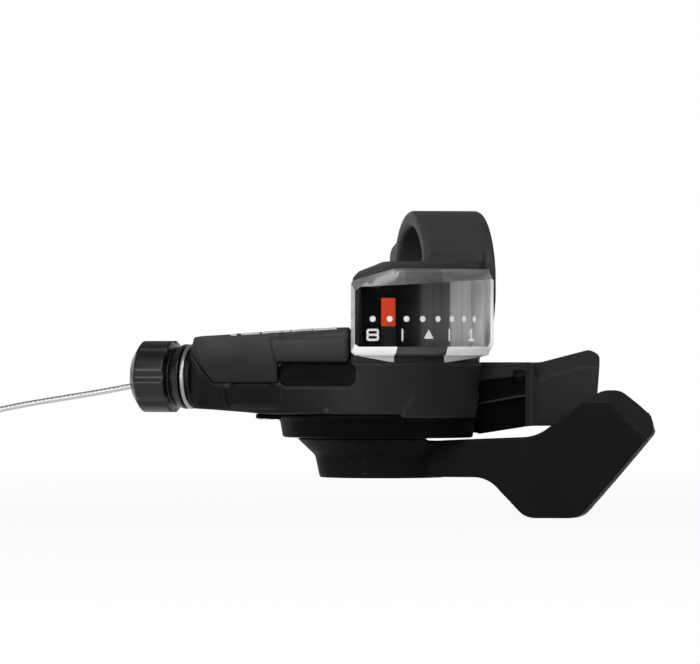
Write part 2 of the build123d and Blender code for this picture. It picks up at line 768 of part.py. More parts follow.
def top_cover():
    """Cap over the arm, with a panel that stands a little proud beside the display."""
    panel = outline(
        (ARM_START, COVER_STEP_Z),
        (COVER_STEP + SEAM_GAP, COVER_STEP_Z),
        (COVER_STEP + COVER_PANEL_LEAN, COVER_PANEL_TOP_Z),
        (ARM_START, COVER_PANEL_TOP_Z + COVER_PANEL_LEAN),
    )
    solid = body_block(0) + (body_block(-COVER_PANEL_PROUD) & prism(panel, 0, FAR))
    sleeve = rod(INSERT_RADIUS + SEAM_GAP, 0, FAR, CABLE_Z)
    cover = (solid & cover_zone(SEAM_GAP)) - body_block(COVER_WALL) - sleeve
    return at_cable(cover) - cover_screw_holes(COVER_SCREW_RADIUS + SEAM_GAP)


def bottom_cover():
    """Cup under the drum, with a rim, three screw lugs and the post of the hold pawl."""
    foot = CUP_RADIUS - CUP_TAPER
    floor = CUP_BOTTOM + CUP_FLOOR
    hole = HUB_BOSS_RADIUS + LOOSE_GAP
    cup = turned(
        [
            (hole, CUP_BOTTOM),
            (foot, CUP_BOTTOM),
            (CUP_RADIUS, DRUM_BOTTOM - RIM_HEIGHT),
            (RIM_RADIUS, DRUM_BOTTOM - RIM_HEIGHT),
            (RIM_RADIUS, DRUM_BOTTOM),
            (CUP_RADIUS - CUP_WALL, DRUM_BOTTOM),
            (foot - CUP_WALL, floor),
            (hole, floor),
        ]
    )
    low = DRUM_BOTTOM - COVER_LUG_HEIGHT
    for angle in LUG_ANGLES:
        end = Pos(LUG_CENTRE, 0) * Circle(COVER_LUG_RADIUS)
        reach = LUG_CENTRE - RIM_RADIUS + COVER_LUG_ROOT
        root = Pos(LUG_CENTRE - reach / 2, 0) * Rectangle(reach, 2 * COVER_LUG_RADIUS)
        lug = Pos(0, 0, low) * extrude(end + root, COVER_LUG_HEIGHT)
        cup = cup + Rot(0, 0, angle) * lug
    post = polar(PAWL_PIN_CENTRE, HOLD_PAWL_ANGLE)
    cup = cup + post * disc(PAWL_BOSS, floor, PAWL_SPRING_TOP - PAWL_SPRING_HEIGHT - SEAM_GAP)
    cup = cup - post * disc(PAWL_PIN_RADIUS + PRESS_GAP, floor, PAWL_TOP)
    cup = cup - door(CUP_DOOR_RADIUS, CUP_BOTTOM - CUT_OVER)
    for angle in LUG_ANGLES:
        shank = disc(LUG_SCREW_RADIUS + SEAM_GAP, low, DRUM_BOTTOM)
        head = disc(LUG_SCREW_HEAD + SEAM_GAP, low, low + LUG_SCREW_HEAD_HEIGHT)
        cup = cup - polar(LUG_CENTRE, angle) * (shank + head)
    return at_pivot(cup)


def bottom_screws():
    """Three equal screws with their heads sunk in the lugs."""
    low = DRUM_BOTTOM - COVER_LUG_HEIGHT
    head = disc(LUG_SCREW_HEAD, low, low + LUG_SCREW_HEAD_HEIGHT)
    shank = disc(LUG_SCREW_RADIUS, low, DRUM_BOTTOM + LUG_SCREW_LENGTH - LOOSE_GAP)
    screw = head + shank
    return Compound([at_pivot(polar(LUG_CENTRE, angle) * screw).solid() for angle in LUG_ANGLES])


def display_lens():
    """Clear curved window with bevelled front edges and two lower tabs."""
    body = sector(LENS_INNER, LENS_RADIUS, DISPLAY_START, DISPLAY_END, LENS_BOTTOM, LENS_TOP)
    body = body & along_display(lens_outline())
    front = body.faces().filter_by(GeomType.CYLINDER).sort_by(SortBy.RADIUS)[-1]
    lens = chamfer(front.edges(), LENS_BEVEL)
    for tab in lens_tabs():
        lens = lens + tab
    return at_pivot(lens)


def display_backing():
    """Thin curved plate that the flag runs in front of."""
    start = DISPLAY_START + WINDOW_SIDE + BACKING_SIDE_GAP
    end = DISPLAY_END - WINDOW_SIDE - BACKING_SIDE_GAP
    inner = BACKING_RADIUS - BACKING_THICKNESS
    bottom = WINDOW_BOTTOM + PRESS_GAP
    top = WINDOW_TOP - PRESS_GAP
    return at_pivot(sector(inner, BACKING_RADIUS, start, end, bottom, top))


def gear_flag():
    """Marker on the end of the spool's arm."""
    return at_pivot(flag_blade(FLAG_BOTTOM, FLAG_TOP))


def flag_blade(bottom, top):
    """Upright stretch of the flag or of its arm, in the pivot's frame."""
    half = math.degrees(FLAG_WIDTH / 2 / FLAG_INNER)
    outer = FLAG_INNER + FLAG_THICKNESS
    return sector(FLAG_INNER, outer, FLAG_ANGLE - half, FLAG_ANGLE + half, bottom, top)


def ratchet():
    """Two rows of saw teeth on the spool, one for each pawl."""
    face = math.radians(TOOTH_LEAN)
    step = math.radians(GEAR_STEP)
    tooth = outline(
        (0, 0),
        (RATCHET_ROOT, 0),
        (RATCHET_TIP * math.cos(face), RATCHET_TIP * math.sin(face)),
        (RATCHET_ROOT * math.cos(step), RATCHET_ROOT * math.sin(step)),
    )
    plan = Circle(RATCHET_ROOT)
    for first in (PULL_TEETH_ANGLE, HOLD_TEETH_ANGLE):
        for count in range(TEETH):
            plan = plan + Rot(0, 0, first + count * GEAR_STEP) * tooth
    return Pos(0, 0, RATCHET_BOTTOM) * extrude(plan, RATCHET_TOP - RATCHET_BOTTOM)


def wire_head_place():
    """Frame at the end of the wrapped wire: x along the wire, z up."""
    angle = CABLE_ANGLE + 90 + WRAP_START + WRAP_SWEEP
    return Rot(0, 0, angle) * Pos(GROOVE_RADIUS - WIRE_HEAD_SHIFT, 0, CABLE_Z) * Rot(0, 0, 90)


def cable_spool():
    """Grooved spool with ratchet teeth, a well for its spring and the flag's arm."""
    half = GROOVE_WIDTH / 2
    floor = GROOVE_RADIUS - WIRE_RADIUS - RUN_GAP
    bore = BUSH_RADIUS + RUN_GAP
    drum = turned(
        [
            (bore, SPOOL_TOP),
            (SPOOL_RADIUS, SPOOL_TOP),
            (SPOOL_RADIUS, CABLE_Z + half),
            (floor, CABLE_Z + half),
            (floor, CABLE_Z - half),
            (SPOOL_RADIUS, CABLE_Z - half),
            (SPOOL_RADIUS, RATCHET_TOP),
            (bore, RATCHET_TOP),
        ]
    )
    spool = drum + ratchet()
    spool = spool - disc(bore, RATCHET_BOTTOM, SPOOL_TOP)
    spool = spool - disc(SPRING_POCKET_RADIUS, RATCHET_BOTTOM, SPRING_POCKET_TOP)
    spool = spool + flag_blade(CABLE_Z + half, FLAG_BOTTOM)
    spoke = math.degrees(FLAG_WIDTH / 2 / FLAG_INNER)
    root = SPOOL_RADIUS - FLAG_SPOKE_ROOT
    end = FLAG_INNER + FLAG_THICKNESS / 2
    spool = spool + sector(root, end, FLAG_ANGLE - spoke, FLAG_ANGLE + spoke, CABLE_Z + half, SPOOL_TOP)
    pocket = rod(WIRE_HEAD_RADIUS + PRESS_GAP, 0, WIRE_HEAD_LENGTH + SEAM_GAP)
    return at_pivot(spool - wire_head_place() * pocket)


def wire_head():
    """End barrel of the wire in its pocket."""
    return at_pivot(wire_head_place() * rod(WIRE_HEAD_RADIUS, 0, WIRE_HEAD_LENGTH))


def wire_wrap():
    """Stretch of the wire that lies in the spool's groove."""
    section = Plane.XZ * Pos(GROOVE_RADIUS, CABLE_Z) * Circle(WIRE_RADIUS)
    return at_pivot(revolve(section, Axis.Z, WRAP_SWEEP), CABLE_ANGLE + 90 + WRAP_START)


def wire_lead():
    """Straight stretch of the wire from the spool to the adjuster's socket."""
    return at_cable(rod(WIRE_RADIUS, PRESS_GAP, WIRE_START - SEAM_GAP - PRESS_GAP, CABLE_Z))


def pivot_axle():
    """Headed axle that hangs in the roof of the drum."""
    shank = disc(AXLE_RADIUS, AXLE_BOTTOM, ROOF_TOP)
    head = disc(AXLE_HEAD_RADIUS, ROOF_TOP, ROOF_TOP + AXLE_HEAD_HEIGHT)
    head = chamfer(head.edges().group_by(Axis.Z)[-1], AXLE_HEAD_HEIGHT / 3)
    hole = disc(PIVOT_SCREW_RADIUS + PRESS_GAP, AXLE_BOTTOM, AXLE_BOTTOM + PIVOT_SCREW_LENGTH)
    return at_pivot(shank + head - hole)


def axle_bush():
    return at_pivot(ring(AXLE_RADIUS + PRESS_GAP, BUSH_RADIUS, BUSH_BOTTOM, ROOF_UNDERSIDE))


def pivot_washer():
    top = AXLE_BOTTOM
    return at_pivot(ring(PIVOT_SCREW_RADIUS + SEAM_GAP, WASHER_RADIUS, top - WASHER_THICKNESS, top))


def pivot_screw():
    """Screw that holds the pull lever on the axle."""
    seat = AXLE_BOTTOM - WASHER_THICKNESS
    low = seat - PIVOT_SCREW_HEAD_HEIGHT
    head = disc(PIVOT_SCREW_HEAD, low, seat)
    shank = disc(PIVOT_SCREW_RADIUS, seat, AXLE_BOTTOM + PIVOT_SCREW_LENGTH - LOOSE_GAP)
    return at_pivot(head + shank - hex_bar(PIVOT_SOCKET_FLATS, low, low + PIVOT_SOCKET_DEPTH))


def spool_spring():
    bottom = SPRING_POCKET_TOP - SEAM_GAP - SPOOL_SPRING_HEIGHT
    return at_pivot(strip_spring(SPOOL_SPRING_INNER, SPOOL_SPRING_PITCH, bottom, SPOOL_SPRING_HEIGHT))


def pull_lever_spring():
    bottom = HUB_TOP - PULL_SPRING_DEPTH + SEAM_GAP
    return at_pivot(strip_spring(PULL_SPRING_INNER, PULL_SPRING_PITCH, bottom, PULL_SPRING_HEIGHT))


def release_lever_spring():
    bottom = RELEASE_PLATE_BOTTOM - RUN_GAP - RELEASE_SPRING_HEIGHT
    spring = strip_spring(RELEASE_SPRING_INNER, RELEASE_SPRING_PITCH, bottom, RELEASE_SPRING_HEIGHT)
    return at_pivot(spring)


def pawl(angle):
    """Pawl with a round boss on its pin and a slim tip, just clear of the teeth."""
    boss = Pos(PAWL_PIN_CENTRE, 0) * Circle(PAWL_BOSS)
    turn = math.radians(PAWL_SWEEP)
    tip_place = Pos(PAWL_TIP_CENTRE * math.cos(turn), PAWL_TIP_CENTRE * math.sin(turn))
    tip = tip_place * Circle(PAWL_TIP_RADIUS)
    plan = make_hull([*boss.edges(), *tip.edges()])
    plan = plan - Pos(PAWL_PIN_CENTRE, 0) * Circle(PAWL_PIN_RADIUS + RUN_GAP)
    return at_pivot(Pos(0, 0, PAWL_BOTTOM) * extrude(plan, PAWL_THICKNESS), angle)


def pawl_pin(angle, bottom):
    return at_pivot(polar(PAWL_PIN_CENTRE, angle) * disc(PAWL_PIN_RADIUS, bottom, PAWL_PIN_TOP))


def pawl_spring(angle):
    """Close-wound coil on a pawl's pin, with one straight leg."""
    inner = PAWL_PIN_RADIUS + RUN_GAP
    bottom = PAWL_SPRING_TOP - PAWL_SPRING_HEIGHT
    coil = ring(inner, inner + PAWL_SPRING_WIRE, bottom, PAWL_SPRING_TOP)
    wire = PAWL_SPRING_WIRE
    leg = Box(wire, PAWL_SPRING_LEG, wire, align=(Align.MIN, Align.MIN, Align.MAX))
    spring = coil + Pos(inner, 0, PAWL_SPRING_TOP) * leg
    return at_pivot(Pos(PAWL_PIN_CENTRE, 0, 0) * spring, angle)


def pawl_carrier():
    """Keyed plate that carries the pull pawl round with the lever."""
    hub = Circle(CARRIER_HUB)
    end = Pos(PAWL_PIN_CENTRE, 0) * Circle(CARRIER_END)
    plan = make_hull([*hub.edges(), *end.edges()])
    plate = Pos(0, 0, CARRIER_BOTTOM) * extrude(plan, CARRIER_THICKNESS)
    plate = plate - hex_bar(CARRIER_FLATS + 2 * SEAM_GAP, CARRIER_BOTTOM, CARRIER_TOP)
    hole = disc(PAWL_PIN_RADIUS + PRESS_GAP, CARRIER_BOTTOM, CARRIER_TOP)
    return at_pivot(plate - Pos(PAWL_PIN_CENTRE, 0, 0) * hole, PULL_PAWL_ANGLE)


def bevel_block(width, length):
    """Block that takes off an upper front edge, in a frame on that edge."""
    block = Box(length, FAR, FAR, align=(Align.CENTER, Align.CENTER, Align.MIN))
    return Pos(0, 0, -width) * Rot(BEVEL_LEAN, 0, 0) * block


def pull_hub():
    """Hub of the pull lever: a waisted cone with a boss up through the bottom cover."""
    hub = turned(
        [
            (0, HUB_BOTTOM),
            (HUB_BOTTOM_RADIUS, HUB_BOTTOM),
            (HUB_WAIST_RADIUS, HUB_TOP - HUB_WAIST_DROP),
            (HUB_TOP_RADIUS, HUB_TOP),
            (HUB_BOSS_RADIUS, HUB_TOP),
            (HUB_BOSS_RADIUS, CARRIER_BOTTOM),
            (0, CARRIER_BOTTOM),
        ]
    )
    corner = (Align.MIN, Align.CENTER, Align.MAX)
    step = Box(HUB_TOP_RADIUS, 2 * HUB_TOP_RADIUS + CUT_OVER, HUB_STEP, align=corner)
    hub = hub - Rot(0, 0, HUB_STEP_ANGLE) * Pos(HUB_BOSS_RADIUS, 0, HUB_TOP) * step
    return hub + hex_bar(CARRIER_FLATS, CARRIER_BOTTOM, CARRIER_TOP)


def paddle():
    """Arm and paddle of the pull lever: a side outline cut out of a curved plan."""
    side = [
        (0, PULL_ARM_TOP),
        (PADDLE_RISE_START, HUB_TOP + PADDLE_RISE_UP),
        (PADDLE_TOP_START, PADDLE_TOP),
        (PADDLE_TOP_END, PADDLE_TOP),
        (PADDLE_TIP - PADDLE_TIP_SLANT, HUB_TOP + PADDLE_TIP_UP),
        (PADDLE_TIP, HUB_TOP + PADDLE_POINT_UP),
        (PADDLE_FOOT_END, PADDLE_BOTTOM),
        (PADDLE_FOOT_START, PADDLE_BOTTOM),
        (PADDLE_NECK, PULL_ARM_BOTTOM),
        (0, PULL_ARM_BOTTOM),
    ]
    radii = [
        HIDDEN_ROUND,
        PADDLE_RISE_ROUND,
        PADDLE_TOP_ROUND,
        PADDLE_TOP_ROUND,
        PADDLE_TIP_ROUND,
        PADDLE_POINT_ROUND,
        PADDLE_FOOT_ROUND,
        PADDLE_FOOT_ROUND,
        PADDLE_NECK_ROUND,
        HIDDEN_ROUND,
    ]
    back = PADDLE_FRONT + PADDLE_THICKNESS
    middle = (PADDLE_RISE_START + PADDLE_TIP) / 2
    half = PULL_ARM_HALF_WIDTH
    end = PADDLE_TIP + PADDLE_TIP_SLANT
    near = (PADDLE_RISE_START, PADDLE_FRONT)
    far = (PADDLE_RISE_START, back)
    plan = make_face(
        [
            Line((0, -half), near),
            ThreePointArc(near, (middle, PADDLE_FRONT + PADDLE_HOLLOW), (end, PADDLE_FRONT)),
            Line((end, PADDLE_FRONT), (end, back)),
            ThreePointArc((end, back), (middle, back + PADDLE_HOLLOW), far),
            Line(far, (HUB_TOP_RADIUS, half)),
            Line((HUB_TOP_RADIUS, half), (0, half)),
            Line((0, half), (0, -half)),
        ]
    )
    bar = prism(rounded_outline(side, radii), -FAR, FAR)
    lever = bar & Pos(0, 0, -FAR) * extrude(plan, FAR)
    lean = math.degrees(math.atan2(PADDLE_UP - PADDLE_TIP_UP, PADDLE_TIP_RUN - PADDLE_TIP_SLANT))
    corner = Pos(PADDLE_TOP_END, PADDLE_FRONT + PADDLE_HOLLOW, PADDLE_TOP)
    for turn, width in ((0.0, PADDLE_TOP_BEVEL), (lean, PADDLE_TIP_BEVEL)):
        lever = lever - corner * Rot(0, turn, 0) * bevel_block(width, FAR)
    return lever


def pull_lever():
    """Large thumb lever, moulded with its hub."""
    lever = pull_hub() + Rot(0, 0, PULL_ANGLE) * paddle()
    lever = lever - disc(AXLE_RADIUS + RUN_GAP, HUB_BOTTOM, CARRIER_TOP)
    lever = lever - disc(HUB_SINK_RADIUS, HUB_BOTTOM, HUB_BOTTOM + HUB_SINK_DEPTH)
    well = ring(HUB_BOSS_RADIUS, PULL_SPRING_WELL, HUB_TOP - PULL_SPRING_DEPTH, HUB_TOP)
    return at_pivot(lever - well)


def release_block():
    """Arm and pad of the release lever outside the drum."""
    side = [
        (0, RELEASE_TOP),
        (RELEASE_PAD_START + RELEASE_RISE_RUN, RELEASE_TOP),
        (RELEASE_PAD_END - RELEASE_TIP_RUN, RELEASE_PAD_TOP),
        (RELEASE_PAD_END, RELEASE_PAD_TOP - RELEASE_TIP_DROP),
        (RELEASE_PAD_END - RELEASE_HEEL_SLANT, RELEASE_PAD_HEEL),
        (RELEASE_PAD_START + RELEASE_FOOT_RUN, RELEASE_PAD_FOOT),
        (RELEASE_PAD_START, RELEASE_PAD_FOOT),
        (0, RELEASE_BOTTOM - RELEASE_KEEL_DROP),
    ]
    radii = [HIDDEN_ROUND, RELEASE_BEND] + 3 * [RELEASE_TIP_ROUND] + 2 * [RELEASE_FOOT_ROUND] + [HIDDEN_ROUND]
    middle = (RELEASE_PAD_START + RELEASE_PAD_END) / 2
    back = RELEASE_PAD_FRONT + RELEASE_PAD_THICKNESS
    arm_back = RELEASE_FRONT + RELEASE_ARM_THICKNESS
    end = RELEASE_PAD_END + RELEASE_TIP_DROP
    near = (RELEASE_PAD_START, RELEASE_PAD_FRONT)
    plan = make_face(
        [
            Line((0, RELEASE_FRONT), (RELEASE_ARM_END, RELEASE_FRONT)),
            Line((RELEASE_ARM_END, RELEASE_FRONT), near),
            ThreePointArc(near, (middle, RELEASE_PAD_FRONT + RELEASE_PAD_HOLLOW), (end, RELEASE_PAD_FRONT)),
            Line((end, RELEASE_PAD_FRONT), (end, back)),
            Line((end, back), (RELEASE_PAD_START, back)),
            Line((RELEASE_PAD_START, back), (0, arm_back)),
            Line((0, arm_back), (0, RELEASE_FRONT)),
        ]
    )
    bar = prism(rounded_outline(side, radii), -FAR, FAR) & Pos(0, 0, -FAR) * extrude(plan, FAR)
    bar = bar - disc(RELEASE_BLOCK_START, -FAR, 0)
    run = RELEASE_PAD_END - RELEASE_TIP_RUN - RELEASE_PAD_START
    lean = math.degrees(math.atan2(RELEASE_PAD_TOP - RELEASE_TOP, run - RELEASE_RISE_RUN))
    corner = Pos(RELEASE_PAD_END - RELEASE_TIP_RUN, RELEASE_PAD_FRONT + RELEASE_PAD_HOLLOW, RELEASE_PAD_TOP)
    bar = bar - corner * Rot(0, -lean, 0) * bevel_block(RELEASE_PAD_BEVEL, 2 * run)
    for face, depth in release_recesses():
        bar = bar - prism(face, -FAR, RELEASE_FRONT + depth)
    return bar


def release_recesses():
    """Outlines and depths of the sunk panels in the arm of the release lever."""
    inner = RELEASE_BLOCK_START - RELEASE_WEB_ROOT
    outer = RELEASE_ARM_END
    low = RELEASE_BOTTOM - RELEASE_KEEL_DROP - CUT_OVER
    band = RELEASE_TOP - RELEASE_BAND
    rib = RELEASE_RECESS_TOP + RELEASE_RIB
    pocket = outer - RELEASE_POCKET_LENGTH
    pocket_foot = RELEASE_POCKET_TOP - RELEASE_POCKET_HEIGHT
    panel = outline(
        (inner, band),
        (outer, band + RELEASE_BAND_RISE),
        (outer, rib + RELEASE_RECESS_RISE),
        (inner, rib),
    )
    recess = outline(
        (inner, RELEASE_RECESS_TOP),
        (outer, RELEASE_RECESS_TOP + RELEASE_RECESS_RISE),
        (outer, low),
        (inner, low),
    )
    hollow = outline(
        (pocket, RELEASE_POCKET_TOP),
        (outer, RELEASE_POCKET_TOP),
        (outer, pocket_foot),
        (pocket, pocket_foot),
    )
    return (panel, RELEASE_PANEL_DEPTH), (recess, RELEASE_RECESS_DEPTH), (hollow, RELEASE_RECESS_DEPTH)


def release_lever():
    """Small thumb lever, with a flat hub between spool and pawl carrier."""
    bottom = RELEASE_PLATE_BOTTOM
    hub = disc(RELEASE_HUB_RADIUS, bottom, RELEASE_PLATE_TOP)
    reach = RELEASE_BLOCK_START + RELEASE_WEB_ROOT
    corner = (Align.MIN, Align.CENTER, Align.MIN)
    web = Box(reach, RELEASE_PLATE_WIDTH, RELEASE_PLATE_THICKNESS, align=corner)
    shift = (RELEASE_FRONT + RELEASE_PLATE_WIDTH / 2) / 2
    lever = hub + Pos(0, shift, bottom) * web + release_block()
    lever = lever - disc(BUSH_RADIUS + RUN_GAP, bottom, RELEASE_PLATE_TOP)
    return at_pivot(lever, RELEASE_ANGLE)


def clamp_bolt():
    """Socket-head bolt up through both lugs."""
    low = BOLT_SEAT_Z - BOLT_HEAD_HEIGHT
    head = disc(BOLT_HEAD_RADIUS, low, BOLT_SEAT_Z)
    head = chamfer(head.edges().group_by(Axis.Z)[0], CLAMP_EDGE / 2)
    shank = disc(BOLT_RADIUS, BOLT_SEAT_Z, NUT_SEAT_Z + NUT_HEIGHT)
    socket = hex_bar(BOLT_SOCKET_FLATS, low, low + BOLT_SOCKET_DEPTH)
    return Pos(0, BOLT_Y, 0) * (head + shank - socket)


def clamp_nut():
    top = NUT_SEAT_Z + NUT_HEIGHT
    nut = hex_bar(NUT_FLATS, NUT_SEAT_Z, top) - disc(BOLT_RADIUS + PRESS_GAP, NUT_SEAT_Z, top)
    return Pos(0, BOLT_Y, 0) * nut


def adjuster_insert():
    """Threaded sleeve in the neck, with a flange between the neck and the bright ring."""
    bore = SCREW_RADIUS + RUN_GAP
    sleeve = ring(bore, INSERT_RADIUS, NECK_LENGTH - INSERT_LENGTH, NECK_LENGTH)
    return along_cable(sleeve + ring(bore, INSERT_FLANGE, BODY_END, NECK_LENGTH))


def adjuster_washer():
    """Bright ring on the flange of the sleeve, rounded on its outer edge."""
    washer = ring(SCREW_RADIUS + LOOSE_GAP, RING_RADIUS, NECK_LENGTH, RING_END)
    rim = washer.edges().filter_by(GeomType.CIRCLE).sort_by(SortBy.RADIUS)[-2:]
    return along_cable(fillet(rim, RING_THICKNESS / 3))


def adjuster_spring():
    """Split click spring in the collar of the knob."""
    spring = sector(
        CLICK_SPRING_INNER,
        CLICK_SPRING_OUTER,
        CLICK_SPRING_GAP,
        360,
        COLLAR_START,
        COLLAR_START + CLICK_SPRING_HEIGHT,
    )
    return along_cable(spring)


def adjuster_knob():
    """Lobed knob with its hollow screw and the socket for the cable's outer casing."""
    lobes = Circle(KNOB_RADIUS)
    for count in range(KNOB_LOBES):
        turn = Rot(0, 0, count * 360 / KNOB_LOBES)
        lobes = lobes - turn * Pos(KNOB_GROOVE_CENTRE, 0) * Circle(KNOB_GROOVE_RADIUS)
    grip = Pos(0, 0, KNOB_START) * extrude(lobes, KNOB_LENGTH)
    shoulder = KNOB_END - KNOB_NOSE_LENGTH
    grip = grip & turned(
        [
            (0, KNOB_START),
            (KNOB_RADIUS - KNOB_EDGE, KNOB_START),
            (KNOB_RADIUS, KNOB_START + KNOB_EDGE),
            (KNOB_RADIUS, shoulder),
            (KNOB_NOSE_RADIUS, KNOB_END),
            (0, KNOB_END),
        ]
    )
    knob = grip + disc(COLLAR_RADIUS, COLLAR_START, KNOB_START)
    well_end = COLLAR_START + CLICK_SPRING_HEIGHT + SEAM_GAP
    well = ring(CLICK_SPRING_INNER - SEAM_GAP, CLICK_SPRING_OUTER + SEAM_GAP, COLLAR_START, well_end)
    knob = knob - well + disc(SCREW_RADIUS, SCREW_START, COLLAR_START)
    mouth = Cone(SOCKET_RADIUS, SOCKET_RADIUS + SOCKET_MOUTH, SOCKET_MOUTH)
    knob = knob - Pos(0, 0, KNOB_END - SOCKET_MOUTH / 2) * mouth
    knob = knob - disc(KNOB_BORE, SCREW_START, KNOB_END) - disc(SOCKET_RADIUS, WIRE_START, KNOB_END)
    return along_cable(knob)


def wire_points():
    """Route of the free wire in the cable line's frame."""
    return [Vector(WIRE_START + along, 0, CABLE_Z - drop) for along, drop in WIRE_ROUTE]


def bend_radii(points):
    """Largest arc that each corner of a route has room for."""
    radii = []
    for before, corner, after in zip(points, points[1:], points[2:]):
        run_in = corner - before
        run_out = after - corner
        half = math.radians(run_in.get_angle(run_out)) / 2
        radii.append(BEND_SHARE * min(run_in.length, run_out.length) / math.tan(half))
    return radii


def inner_wire():
    """Free wire from the socket of the adjuster to the coil."""
    points = wire_points()
    radii = bend_radii(points)
    path = FilletPolyline(*points, radius=radii)
    section = Plane(origin=path @ 0, z_dir=path % 0) * Circle(WIRE_RADIUS)
    tube = sweep(section, path)
    straight = math.pi * WIRE_RADIUS**2 * path.length
    print("wire bend radii", [round(radius) for radius in radii])
    print("wire length", round(path.length, 1), "volume share", round(tube.volume / straight, 4))
    return at_cable(tube)


def coil_centre():
    """Centre of the coil, which lies level with the lowest edge of the pull lever."""
    end = wire_points()[-1]
    rest = PADDLE_BOTTOM + TIE_WALL + TIE_ROOM + COIL_BUNDLE
    return Pos(end.X + COIL_LEAD, COIL_RADIUS, rest)


def wire_coil():
    """Outer shape of the coiled length of wire."""
    return at_cable(coil_centre() * Torus(COIL_RADIUS, COIL_BUNDLE))


def coil_tie():
    """Band round the coil, across from the end of the free wire."""
    inner = COIL_BUNDLE + TIE_ROOM
    band = Rot(0, 90, 0) * ring(inner, inner + TIE_WALL, -TIE_WIDTH / 2, TIE_WIDTH / 2)
    return at_cable(coil_centre() * Pos(0, COIL_RADIUS, 0) * band)


PARTS = {
    "main_housing": main_housing,
    "top_cover": top_cover,
    "cover_screw": cover_screw,
    "bottom_cover": bottom_cover,
    "bottom_screws": bottom_screws,
    "clamp_bolt": clamp_bolt,
    "clamp_nut": clamp_nut,
    "display_lens": display_lens,
    "display_backing": display_backing,
    "gear_flag": gear_flag,
    "pivot_axle": pivot_axle,
    "axle_bush": axle_bush,
    "pivot_washer": pivot_washer,
    "pivot_screw": pivot_screw,
    "cable_spool": cable_spool,
    "spool_spring": spool_spring,
    "wire_wrap": wire_wrap,
    "wire_head": wire_head,
    "wire_lead": wire_lead,
    "pull_lever": pull_lever,
    "pull_lever_spring": pull_lever_spring,
    "pawl_carrier": pawl_carrier,
    "pull_pawl": lambda: pawl(PULL_PAWL_ANGLE),
    "pull_pawl_pin": lambda: pawl_pin(PULL_PAWL_ANGLE, CARRIER_BOTTOM),
    "pull_pawl_spring": lambda: pawl_spring(PULL_PAWL_ANGLE),
    "hold_pawl": lambda: pawl(HOLD_PAWL_ANGLE),
    "hold_pawl_pin": lambda: pawl_pin(HOLD_PAWL_ANGLE, CUP_BOTTOM + CUP_FLOOR),
    "hold_pawl_spring": lambda: pawl_spring(HOLD_PAWL_ANGLE),
    "release_lever": release_lever,
    "release_lever_spring": release_lever_spring,
    "adjuster_insert": adjuster_insert,
    "adjuster_washer": adjuster_washer,
    "adjuster_spring": adjuster_spring,
    "adjuster_knob": adjuster_knob,
    "inner_wire": inner_wire,
    "wire_coil": wire_coil,
    "coil_tie": coil_tie,
}

os.makedirs("parts", exist_ok=True)
for name, make in PARTS.items():
    export_step(make(), f"parts/{name}.step")
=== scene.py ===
import json
import math

import bmesh
import bpy
from mathutils import Matrix, Vector
from mathutils.bvhtree import BVHTree


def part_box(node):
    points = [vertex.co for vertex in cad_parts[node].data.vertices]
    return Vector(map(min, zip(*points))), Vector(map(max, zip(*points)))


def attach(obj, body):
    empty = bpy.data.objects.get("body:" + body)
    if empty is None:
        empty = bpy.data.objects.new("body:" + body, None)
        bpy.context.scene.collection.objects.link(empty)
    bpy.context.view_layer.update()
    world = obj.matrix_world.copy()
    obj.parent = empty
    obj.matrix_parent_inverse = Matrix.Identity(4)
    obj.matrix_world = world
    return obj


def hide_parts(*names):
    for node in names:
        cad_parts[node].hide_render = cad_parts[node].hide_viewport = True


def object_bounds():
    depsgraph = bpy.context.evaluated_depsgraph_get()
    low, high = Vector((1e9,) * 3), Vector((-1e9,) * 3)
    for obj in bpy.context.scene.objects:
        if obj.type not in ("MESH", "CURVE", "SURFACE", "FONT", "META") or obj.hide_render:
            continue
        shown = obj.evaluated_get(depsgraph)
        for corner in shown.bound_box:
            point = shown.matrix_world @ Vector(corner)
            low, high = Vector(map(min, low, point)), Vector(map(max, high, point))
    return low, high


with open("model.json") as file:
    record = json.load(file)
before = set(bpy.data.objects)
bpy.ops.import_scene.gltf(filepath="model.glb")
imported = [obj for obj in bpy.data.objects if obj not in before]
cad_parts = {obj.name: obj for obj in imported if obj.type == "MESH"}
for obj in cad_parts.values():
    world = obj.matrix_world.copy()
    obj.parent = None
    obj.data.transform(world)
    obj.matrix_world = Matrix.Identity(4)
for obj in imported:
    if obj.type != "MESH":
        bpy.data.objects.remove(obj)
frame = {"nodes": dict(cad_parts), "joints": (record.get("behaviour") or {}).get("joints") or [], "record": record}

CAD_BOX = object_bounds()
MM = 0.001


def mm(*sizes):
    """Sizes given in millimetres, as metres."""
    return tuple(size * MM for size in sizes)


# Camera: the photograph's direction, level with the part, and its frame of 700 by 664
VIEW_YAW = math.radians(13.1)
VIEW_WIDTH = 132.1 * MM
VIEW_AIM = Vector((-19.7, -5.7, -8.9)) * MM
VIEW_DISTANCE = 1.2
SENSOR = 36.0
CLIP_NEAR = 0.05
CLIP_FAR = 20.0

# Plan of the part: the upright pivot, and the line that the wire leaves along
UP = Vector((0, 0, 1))
PIVOT = Vector(next(j["pos_m"] for j in frame["joints"] if j["name"] == "spool_turn"))
CABLE = Vector(next(j["axis"] for j in frame["joints"] if j["name"] == "adjuster_turn"))
RIDER_SIDE = Vector((-CABLE.y, CABLE.x, 0))
CABLE_Z = -17.3 * MM
GROOVE_RADIUS = 17.0 * MM
TANGENT = PIVOT + RIDER_SIDE * GROOVE_RADIUS

# Copies of the solids: what counts as one corner and as touching, and the strength of a smoothing pass
MERGE_DISTANCE = 0.002 * MM
TOUCH = 0.05 * MM
SMOOTH_FACTOR = 0.5

